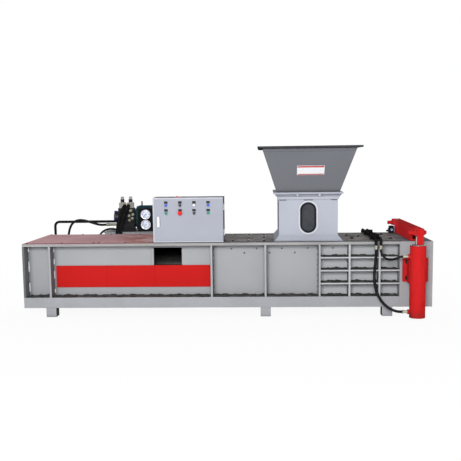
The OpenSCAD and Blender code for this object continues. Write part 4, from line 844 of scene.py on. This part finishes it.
black_plastic = plastic("black_plastic", (0.014, 0.014, 0.015), gloss=0.06)
bm = bmesh.new()
slab(bm, (1.570, 0.176, deck_top), (1.634, 0.242, deck_top + 0.004))
slab(bm, (1.574, 0.182, deck_top + 0.004), (1.630, 0.236, deck_top + 0.058), edge=0.004)
slab(bm, (1.580, 0.188, deck_top + 0.058), (1.624, 0.230, deck_top + 0.072), edge=0.003)
rod(bm, (1.602, 0.214, deck_top + 0.064), (1.602, 0.244, deck_top + 0.064), 0.009, edge=0.001)
slab(bm, (1.597, 0.236, deck_top + 0.060), (1.641, 0.241, deck_top + 0.068), edge=0.001)
rod(bm, (1.574, 0.209, deck_top + 0.022), (1.556, 0.209, deck_top + 0.022), 0.009, 6, 0.001)
piece("limit_switch", bm, black_plastic, "bed")
pale_lens = plastic("pale_lens", (0.30, 0.42, 0.78), gloss=0.2)
bm = bmesh.new()
rod(bm, (1.606, 0.184, deck_top + 0.032), (1.606, 0.178, deck_top + 0.032), 0.012, 24, 0.0015)
rod(bm, (1.635, 0.2385, deck_top + 0.064), (1.635, 0.2310, deck_top + 0.064), 0.008, 24, 0.001)
piece("switch_lens", bm, pale_lens, "bed", smooth=True)

# Feed throat: a square duct of folded sheet with flanges at both ends, stitch-welded to a
# stiffening band and bolted under the hopper, with an oval sight window in front.
throat_pale = enamel(
    "throat_pale",
    (0.44, 0.462, 0.53),
    (0.385, 0.40, 0.45),
    cover=0.5,
    dirt_and_shade=0.55,
    reach=0.04,
    top_shade_and_dust=0.5,
)
side_shade(throat_pale, 0.35)
tree = throat_pale.node_tree
# Painted shade: faces turned to the left end are painted darker.
paint_over(throat_pale, facing(tree, "X", -0.6, -0.9, 0, 0.45), (0.12, 0.115, 0.11))
inside_x = within(tree, "X", 0.48975, 1.00625, 0.00025)
inside_y = within(tree, "Y", -0.48925, 0.14725, 0.00025)
rubbed = patchy(tree, 8, 5, 0.2, 0.6, 0.6, 0.95)
paint_over(throat_pale, times(tree, inside_x, inside_y, rubbed), (0.13, 0.12, 0.11))
wear_finish(throat_pale, "feed_throat")
ease(0.001, "feed_throat")
throat_front, throat_rear = -0.497, 0.155
throat_left, throat_right = 0.482, 1.014
foot_seam, band_seam = 0.690, 1.040
bm = bmesh.new()
seam = bmesh.new()
for face in (throat_front, throat_rear):
    for start, end in ((0.490, 0.556), (0.709, 0.790), (0.951, 1.008)):
        weld_run(seam, (start, face, band_seam), (end, face, band_seam), 0.005)
    for start in (0.505, 0.665, 0.815, 0.935):
        weld_run(bm, (start, face, foot_seam), (start + 0.06, face, foot_seam), 0.005)
for x in (throat_left, throat_right):
    for start in (-0.46, -0.30, -0.13, 0.05):
        weld_run(bm, (x, start, foot_seam), (x, start + 0.07, foot_seam), 0.005)
piece("throat_welds", bm, throat_pale, "bed", smooth=True)
# Stitch welds under the band are painted dark: partly weld, partly the painted shadow under the
# band.
seam_dark = enamel("seam_dark", (0.17, 0.17, 0.19), (0.11, 0.11, 0.12), cover=0.7, blotch=20)
piece("throat_seams", seam, seam_dark, "bed", smooth=True)
bolt_pale = enamel(
    "bolt_pale", (0.62, 0.63, 0.66), (0.50, 0.51, 0.54), cover=0.5, blotch=20, dirt_and_shade=0.2
)
flange_foot = 1.092
bm = bmesh.new()
for y in (-0.5185, 0.1765):
    for x in (0.651, 0.850):
        hex_bolt(bm, (x, y, flange_foot), (0, 0, -1), 0.017, 0.014)
piece("throat_bolts", bm, bolt_pale, "bed")


def oval(bm, width, height, count=48):
    ring = bmesh.ops.create_circle(bm, segments=count, radius=width / 2)["verts"]
    shift = (height - width) / 2
    for v in ring:
        v.co.y += shift if v.co.y >= -0.00001 else -shift
    return ring


def upright(spot):
    return Matrix.Translation(spot) @ Matrix.Rotation(math.radians(90), 4, "X")


def thicken(bm, depth):
    back = bmesh.ops.extrude_face_region(bm, geom=list(bm.faces))["geom"]
    moved = [g for g in back if isinstance(g, bmesh.types.BMVert)]
    bmesh.ops.translate(bm, vec=(0, 0, depth), verts=moved)


def rubber(name, colour):
    finish, tree, coat = bare_finish(name, 0.06)
    chalky = tuple(c * 2.2 for c in colour)
    tree.links.new(
        tint(tree, patchy(tree, 20, 6, 0.4, 0.7), colour, chalky), coat.inputs["Base Color"]
    )
    roughen(tree, coat, 0.4, 0.6, 300, 0.0005)
    return finish


gasket_rubber = rubber("gasket_rubber", (0.009, 0.010, 0.014))
sight_low, sight_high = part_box("sight_window")
sight_middle = (sight_low + sight_high) / 2
sight_wide = sight_high.x - sight_low.x
sight_tall = sight_high.z - sight_low.z
collar_width = 0.018
tree = throat_pale.node_tree
collar = times(
    tree,
    along(tree, "Y", -0.4980, -0.4990),
    within(tree, "X", sight_low.x - collar_width, sight_high.x + collar_width),
    within(tree, "Z", sight_low.z - collar_width, sight_high.z + collar_width),
)
paint_over(throat_pale, collar, (0.60, 0.61, 0.65))
gasket_depth = 0.012
bm = bmesh.new()
outer = oval(bm, sight_wide, sight_tall)
inner = oval(bm, sight_wide - 0.034, sight_tall - 0.034)
loops = list({e for v in outer + inner for e in v.link_edges})
bmesh.ops.bridge_loops(bm, edges=loops)
thicken(bm, gasket_depth)
bmesh.ops.recalc_face_normals(bm, faces=bm.faces)
rounded = [e for e in bm.edges if len(e.link_faces) == 2 and e.calc_face_angle() > 1]
rounded = [e for e in rounded if min(v.co.z for v in e.verts) > gasket_depth - 0.001]
round_edges(bm, rounded, 0.0035, 3)
seat = upright((sight_middle.x, sight_low.y + gasket_depth, sight_middle.z))
bmesh.ops.transform(bm, matrix=seat, verts=bm.verts)
gasket = piece("sight_gasket", bm, gasket_rubber, "bed", smooth=True)
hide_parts("sight_window")

smoked_glass, tree, coat = bare_finish("smoked_glass", 0.12)
haze = patchy(tree, 9, 5, 0.35, 0.7)
tree.links.new(
    tint(tree, haze, (0.036, 0.039, 0.048), (0.058, 0.061, 0.070)), coat.inputs["Base Color"]
)
tree.links.new(patchy(tree, 40, 4, 0.4, 0.7, 0.12, 0.3), coat.inputs["Roughness"])
bm = bmesh.new()
bm.faces.new(oval(bm, sight_wide - 0.030, sight_tall - 0.030))
thicken(bm, 0.006)
seat = upright((sight_middle.x, sight_low.y + gasket_depth + 0.002, sight_middle.z))
bmesh.ops.transform(bm, matrix=seat, verts=bm.verts)
piece("sight_pane", bm, smoked_glass, "bed")

# Hopper: four bent plates seamed at the corners into a funnel with a folded rim, bolted to
# the throat. A blank enamelled plate is riveted to its front. Chips have rubbed the inside.
hopper_grey = enamel(
    "hopper_grey",
    (0.170, 0.177, 0.196),
    (0.146, 0.151, 0.166),
    cover=0.6,
    blotch=1.4,
    low=0.5,
    high=0.65,
)
tree = hopper_grey.node_tree
# Painted shadow: a dark line below the lip of the rim.
paint_over(hopper_grey, within(tree, "Z", 1.4688, 1.4712), (0.10, 0.10, 0.11))
paint_over(hopper_grey, along(tree, "Z", 1.492, 1.496, 0, 0.92), (0.040, 0.040, 0.046))
paint_over(hopper_grey, along(tree, "Z", 1.1085, 1.1080), (0.42, 0.44, 0.505))
wear_finish(hopper_grey, "hopper")
ease(0.001, "hopper")
plate_white = enamel(
    "plate_white", (0.78, 0.79, 0.81), (0.70, 0.71, 0.73), cover=0.4, dirt_and_shade=0.2, gloss=0.3
)
plate_red = enamel(
    "plate_red", (0.55, 0.05, 0.05), (0.45, 0.04, 0.04), cover=0.4, dirt_and_shade=0.2, gloss=0.2
)
slope = Matrix(((1, 0, 0), (0, -0.538, -0.843), (0, 0.843, -0.538))).to_4x4()
sign = Matrix.Translation((0.762, -0.637, 1.305)) @ slope
bm = bmesh.new()
slab(bm, (-0.120, -0.048, -0.002), (0.120, 0.048, 0.0020), 0.0006, 1, sign)
piece("blank_plate", bm, plate_white, "bed")
bm = bmesh.new()
for low, high in ((0.030, 0.045), (-0.045, -0.036)):
    slab(bm, (-0.117, low, 0.0019), (0.117, high, 0.0024), 0.0001, 1, sign)
piece("plate_bands", bm, plate_red, "bed")
plated_steel = metal("plated_steel", (0.60, 0.60, 0.60), (0.42, 0.42, 0.42), 0.3, 0.45, 20)
bm = bmesh.new()
for x in (-0.113, 0.113):
    for y in (-0.041, 0.041):
        stud = bmesh.new()
        bmesh.ops.create_uvsphere(stud, u_segments=12, v_segments=8, radius=0.0035)
        put(bm, stud, sign @ Matrix.Translation((x, y, 0.002)) @ Matrix.Diagonal((1, 1, 0.5, 1)))
piece("plate_rivets", bm, plated_steel, "bed", smooth=True)

# Control cabinet: a folded sheet-steel case with a tray-shaped door, sprayed pale grey, with
# the push buttons, selectors and emergency stop in its door, each under a blank tag. A plate
# inside carries slotted cable ducts, breakers and contactors.
cabinet_pale = enamel(
    "cabinet_pale",
    (0.382, 0.398, 0.460),
    (0.350, 0.362, 0.410),
    cover=0.5,
    dirt_and_shade=0.4,
    reach=0.02,
    top_shade_and_dust=0.5,
)
door_low, door_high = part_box("cabinet_door")
tree = cabinet_pale.node_tree
shaded = facing(tree, "X", 0.6, 0.9, 0, 0.5)
paint_over(cabinet_pale, shaded, (0.13, 0.133, 0.15))
front = along(tree, "Y", -0.560, -0.565, 0, 0.75)
door_edges = (
    ("X", door_low.x, 1),
    ("X", door_high.x, -1),
    ("Z", door_low.z, 1),
    ("Z", door_high.z, -1),
)
# Painted highlight: a light line just inside each edge of the door's front.
for axis, edge, inward in door_edges:
    rim_highlight = along(tree, axis, edge + inward * 0.012, edge + inward * 0.008)
    paint_over(cabinet_pale, times(tree, rim_highlight, front), (0.60, 0.615, 0.66))
behind = within(tree, "Y", -0.5805, -0.5025, 0.0005)
contacts = times(tree, within(tree, "X", -0.596, -0.076), within(tree, "Z", 0.920, 1.050))
paint_over(cabinet_pale, times(tree, behind, contacts), (0.028, 0.028, 0.030))
wear_finish(cabinet_pale, "cabinet", "cabinet_door")
white_plastic = plastic("white_plastic", (0.82, 0.83, 0.84))
blue_plastic = plastic("blue_plastic", (0.035, 0.13, 0.72), gloss=0.15)
green_plastic = plastic("green_plastic", (0.012, 0.29, 0.18), gloss=0.15)
stop_red = plastic("stop_red", (0.72, 0.018, 0.014), gloss=0.15)
wear_finish(white_plastic, "door_handle", "button_white")
wear_finish(blue_plastic, "button_blue_left", "button_blue_right")
wear_finish(green_plastic, "button_green_left", "button_green_right")
wear_finish(stop_red, "emergency_stop", "lamp")
selector_grey = plastic("selector_grey", (0.060, 0.060, 0.062), gloss=0.1)
wear_finish(selector_grey, "selector_upper", "selector_lower")
wear_finish(black_plastic, "needle_upper", "needle_lower", "filler_cap")
zinc_plate = metal(
    "zinc_plate",
    (0.34, 0.345, 0.355),
    (0.27, 0.275, 0.28),
    0.4,
    0.55,
    20,
    metallic=0.1,
    gloss=0.03,
)
tree = zinc_plate.node_tree
raised = along(tree, "Y", -0.3430, -0.3440)
many = add_node(tree, "ShaderNodeMath", operation="MULTIPLY")
many.inputs[1].default_value = 85
share = add_node(tree, "ShaderNodeMath", operation="FRACT")
join(tree, (place(tree, "X"), many.inputs[0]), (many.outputs[0], share.inputs[0]))
slots = between(tree, share.outputs[0], 0.60, 0.66)
for low in (0.719, 0.860, 1.001):
    duct = times(tree, raised, within(tree, "Z", low, low + 0.028))
    paint_over(zinc_plate, duct, (0.20, 0.21, 0.225))
    comb = times(tree, raised, slots, within(tree, "Z", low + 0.003, low + 0.021))
    paint_over(zinc_plate, comb, (0.03, 0.03, 0.03))
for low, high, colour in (
    (0.905, 0.984, (0.42, 0.42, 0.41)),
    (0.936, 0.953, (0.02, 0.02, 0.022)),
    (0.764, 0.849, (0.030, 0.031, 0.033)),
    (0.787, 0.825, (0.13, 0.13, 0.125)),
):
    paint_over(zinc_plate, times(tree, raised, within(tree, "Z", low, high)), colour)
wear_finish(zinc_plate, "mounting_plate")
tag_grey = plastic("tag_grey", (0.042, 0.040, 0.040), gloss=0.05)
door_face = -0.587
bm = bmesh.new()
for x in (-0.525, -0.399, -0.273, -0.147):
    for z in (1.0325, 0.9625):
        slab(
            bm,
            (x - 0.016, door_face - 0.0012, z - 0.0105),
            (x + 0.016, door_face + 0.0002, z + 0.0105),
            0.0004,
            1,
        )
piece("control_tags", bm, tag_grey, "door")

# Power pack: an oil tank with the motor, pump and valve block on its lid, standing behind
# the bed, and a black board with two pressure gauges. Plated bolts hold the tank's lid, its
# oil glass and the lid of the motor's terminal box.
tank_grey = enamel(
    "tank_grey", (0.42, 0.43, 0.45), (0.32, 0.32, 0.33), cover=0.7, dirt_and_shade=0.6, top_shade_and_dust=0.6
)
wear_finish(tank_grey, "oil_tank")
ease(0.001, "oil_tank")
lid_top = 0.688
lid_left, lid_right = -1.276, -0.384
lid_bolts = [(x, 0.3625) for x in (lid_left, -1.105, -0.700, -0.540, lid_right)]
lid_bolts += [(x, 0.7955) for x in (lid_left, -1.098, -0.920, -0.742, -0.564, lid_right)]
lid_bolts += [(x, y) for y in (0.470, 0.579, 0.688) for x in (lid_left, lid_right)]
bm = bmesh.new()
for x, y in lid_bolts:
    hex_bolt(bm, (x, y, lid_top), (0, 0, 1), 0.013, 0.006)
for z in (0.323, 0.473):
    hex_bolt(bm, (-0.617, 0.813, z), (0, 1, 0), 0.012, 0.003)
piece("tank_bolts", bm, plated_steel, "bed")
oil_glass = plastic("oil_glass", (0.62, 0.66, 0.66), gloss=0.1)
tree = oil_glass.node_tree
paint_over(oil_glass, along(tree, "Z", 0.4205, 0.4200), (0.30, 0.17, 0.03))
bm = bmesh.new()
slab(bm, (-0.6245, 0.8120, 0.343), (-0.6095, 0.8150, 0.453), 0.0012, 2)
piece("tank_glass", bm, oil_glass, "bed")
motor_teal = enamel(
    "motor_teal", (0.013, 0.062, 0.080), (0.009, 0.042, 0.055), cover=0.7, blotch=8
)
wear_finish(motor_teal, "motor_housing", "fan_cowl")
ease(0.0008, "fan_cowl")
shield_middle = Vector((-0.656, 0.549, 0.820))
shield_radius = 0.1235
box_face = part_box("motor_housing")[1].y
bm = bmesh.new()
slab(bm, (-0.897, box_face - 0.004, 0.773), (-0.773, box_face + 0.003, 0.867), 0.0015, 2)
piece("terminal_lid", bm, motor_teal, "bed")
bm = bmesh.new()
for x in (-0.888, -0.782):
    for z in (0.782, 0.858):
        hex_bolt(bm, (x, box_face + 0.003, z), (0, 1, 0), 0.009, 0.004)
for i in range(4):
    lean = math.radians(45 + 90 * i)
    outward = Vector((0, math.cos(lean), math.sin(lean)))
    hex_bolt(bm, shield_middle + outward * shield_radius, outward, 0.009, 0.004)
piece("motor_bolts", bm, plated_steel, "bed")
cast_grey = metal(
    "cast_grey",
    (0.085, 0.085, 0.088),
    (0.05, 0.048, 0.047),
    0.45,
    0.65,
    40,
    metallic=0.2,
    gloss=0.1,
)
wear_finish(cast_grey, "pump")
valve_grey = metal(
    "valve_grey",
    (0.36, 0.355, 0.35),
    (0.26, 0.255, 0.25),
    0.4,
    0.55,
    30,
    metallic=0.15,
    gloss=0.05,
)
tree = valve_grey.node_tree
paint_over(valve_grey, within(tree, "Z", 0.991, 1.019), (0.022, 0.022, 0.023))
wear_finish(valve_grey, "solenoid_valves")
block_dark = metal(
    "block_dark",
    (0.024, 0.024, 0.025),
    (0.012, 0.012, 0.012),
    0.4,
    0.6,
    18,
    metallic=0.1,
    gloss=0.06,
)
wear_finish(block_dark, "valve_block")
wear_finish(scraped_steel, "motor_rotor")
knob_blue = plastic("knob_blue", (0.010, 0.016, 0.09), gloss=0.2)
wear_finish(knob_blue, "relief_knob_upper", "relief_knob_lower")
board_black = plastic("board_black", (0.010, 0.010, 0.011), 0.4, 0.6, gloss=0.04)
wear_finish(board_black, "gauge_panel")
gauge_steel = metal(
    "gauge_steel", (0.62, 0.62, 0.64), (0.50, 0.50, 0.52), 0.2, 0.35, 20, metallic=0.9
)
tree = gauge_steel.node_tree
dials = times(tree, facing(tree, "Y", -0.8, -0.95), along(tree, "Y", 0.3670, 0.3680))
paint_over(gauge_steel, dials, (0.55, 0.60, 0.72))
wear_finish(gauge_steel, "gauge_cases")
dial_spots = ((-0.85703, 0.8629), (-0.85703, 0.7599))
dial_face = 0.3690
bm = bmesh.new()
red_arc = bmesh.new()
for x, z in dial_spots:
    for i in range(31):
        turn = Matrix.Rotation(math.radians(225 - 9 * i), 4, "Y")
        turn = Matrix.Translation((x, dial_face, z)) @ turn
        inner = 0.027 if i % 5 == 0 else 0.032
        half = 0.0013 if i % 5 == 0 else 0.0007
        slab(bm, (inner, -0.0006, -half), (0.0385, 0.0002, half), 0.0001, 1, turn)
        if i > 23:
            slab(red_arc, (0.0392, -0.0005, -0.0033), (0.0422, 0.0002, 0.0033), 0.0001, 1, turn)
piece("dial_marks", bm, black_plastic, "bed")
piece("dial_limits", red_arc, stop_red, "bed")

# Pipes and fittings: bent steel tube, painted black, with zinc-plated unions screwed to its
# ends and clamps that hold it to the deck and the rear wall.
tube_black = metal(
    "tube_black", (0.016, 0.016, 0.017), (0.009, 0.009, 0.009), 0.4, 0.6, metallic=0.0, gloss=0.0
)
wear_finish(tube_black, "steel_pipes")
union_zinc = metal(
    "union_zinc", (0.47, 0.455, 0.37), (0.29, 0.28, 0.22), 0.3, 0.45, 25, metallic=0.7
)
tree = union_zinc.node_tree
on_deck = times(tree, along(tree, "Z", 0.664, 0.668), along(tree, "X", 1.2, 1.25))
paint_over(union_zinc, along(tree, "X", 0.0, -0.1, 0, 0.8), (0.15, 0.14, 0.105))
paint_over(union_zinc, on_deck, (0.012, 0.012, 0.012))
coat = tree.nodes["Principled BSDF"]
tree.links.new(between(tree, on_deck, 0, 1, 0.7, 0.0), coat.inputs["Metallic"])
tree.links.new(between(tree, on_deck, 0, 1, 0.5, 0.0), coat.inputs["Specular IOR Level"])
wear_finish(union_zinc, "fittings")

# Hoses: black rubber over wire braid, crimped into their end fittings. Two hang from the
# deck pipes to the front lift cylinder, and two run from the valve block into the bed.
hose_rubber = rubber("hose_rubber", (0.008, 0.008, 0.009))


def hose(name, node, route, diameter):
    line = bpy.data.curves.new(name, "CURVE")
    line.dimensions = "3D"
    line.resolution_u = 8
    line.bevel_depth = diameter / 2
    line.bevel_resolution = 4
    line.use_fill_caps = True
    spline = line.splines.new("BEZIER")
    spline.bezier_points.add(len(route) - 1)
    for point, spot in zip(spline.bezier_points, route):
        point.co = spot
        point.handle_left_type = point.handle_right_type = "AUTO"
    line.materials.append(hose_rubber)
    obj = bpy.data.objects.new(name, line)
    scene.collection.objects.link(obj)
    bpy.context.view_layer.update()
    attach(obj, "bed")
    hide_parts(node)


main_hose_route = [
    (-1.2650, 0.3910, 0.7620),
    (-1.3061, 0.3849, 0.7599),
    (-1.3455, 0.3725, 0.7651),
    (-1.3838, 0.3611, 0.7770),
    (-1.4224, 0.3536, 0.7908),
    (-1.4620, 0.3492, 0.8033),
    (-1.5027, 0.3465, 0.8116),
    (-1.5443, 0.3448, 0.8120),
    (-1.5836, 0.3433, 0.7990),
    (-1.6141, 0.3415, 0.7710),
    (-1.6334, 0.3395, 0.7342),
    (-1.6446, 0.3372, 0.6942),
    (-1.6505, 0.3344, 0.6530),
    (-1.6525, 0.3307, 0.6115),
    (-1.6517, 0.3252, 0.5702),
    (-1.6488, 0.3165, 0.5295),
    (-1.6449, 0.3022, 0.4906),
    (-1.6416, 0.2792, 0.4561),
    (-1.6410, 0.2469, 0.4299),
    (-1.6440, 0.2090, 0.4130),
]
hose("main_line", "main_hose", main_hose_route, 0.024)
return_hose_route = [
    (-1.1620, 0.3910, 0.7070),
    (-1.1923, 0.3899, 0.7154),
    (-1.2234, 0.3858, 0.7183),
    (-1.2541, 0.3794, 0.7147),
    (-1.2826, 0.3713, 0.7042),
    (-1.3074, 0.3625, 0.6869),
    (-1.3270, 0.3537, 0.6639),
    (-1.3410, 0.3454, 0.6369),
    (-1.3498, 0.3375, 0.6077),
    (-1.3545, 0.3299, 0.5774),
    (-1.3558, 0.3219, 0.5470),
    (-1.3546, 0.3128, 0.5168),
    (-1.3518, 0.3016, 0.4874),
    (-1.3483, 0.2867, 0.4599),
    (-1.3456, 0.2662, 0.4362),
    (-1.3458, 0.2394, 0.4199),
    (-1.3500, 0.2090, 0.4130),
]
hose("return_line", "return_hose", return_hose_route, 0.020)
upper_hose_route = [
    (1.3770, -0.6430, 0.6050),
    (1.3784, -0.6441, 0.5878),
    (1.3825, -0.6472, 0.5712),
    (1.3891, -0.6524, 0.5561),
    (1.3978, -0.6594, 0.5429),
    (1.4085, -0.6679, 0.5322),
    (1.4206, -0.6776, 0.5246),
    (1.4339, -0.6879, 0.5202),
    (1.4477, -0.6982, 0.5188),
    (1.4620, -0.7079, 0.5203),
    (1.4765, -0.7166, 0.5242),
    (1.4912, -0.7237, 0.5299),
    (1.5064, -0.7288, 0.5367),
    (1.5222, -0.7313, 0.5434),
    (1.5388, -0.7315, 0.5483),
    (1.5560, -0.7310, 0.5500),
]
hose("front_upper_line", "front_upper_hose", upper_hose_route, 0.020)
lower_hose_route = [
    (1.3350, -0.6430, 0.6050),
    (1.3362, -0.6444, 0.5693),
    (1.3344, -0.6470, 0.5336),
    (1.3308, -0.6504, 0.4982),
    (1.3266, -0.6547, 0.4629),
    (1.3226, -0.6597, 0.4277),
    (1.3196, -0.6653, 0.3925),
    (1.3183, -0.6714, 0.3573),
    (1.3194, -0.6778, 0.3221),
    (1.3234, -0.6844, 0.2871),
    (1.3307, -0.6912, 0.2528),
    (1.3415, -0.6979, 0.2194),
    (1.3562, -0.7045, 0.1874),
    (1.3748, -0.7106, 0.1575),
    (1.3973, -0.7163, 0.1303),
    (1.4235, -0.7213, 0.1065),
    (1.4532, -0.7254, 0.0869),
    (1.4857, -0.7285, 0.0724),
    (1.5203, -0.7304, 0.0639),
    (1.5560, -0.7310, 0.0620),
]
hose("front_lower_line", "front_lower_hose", lower_hose_route, 0.025)
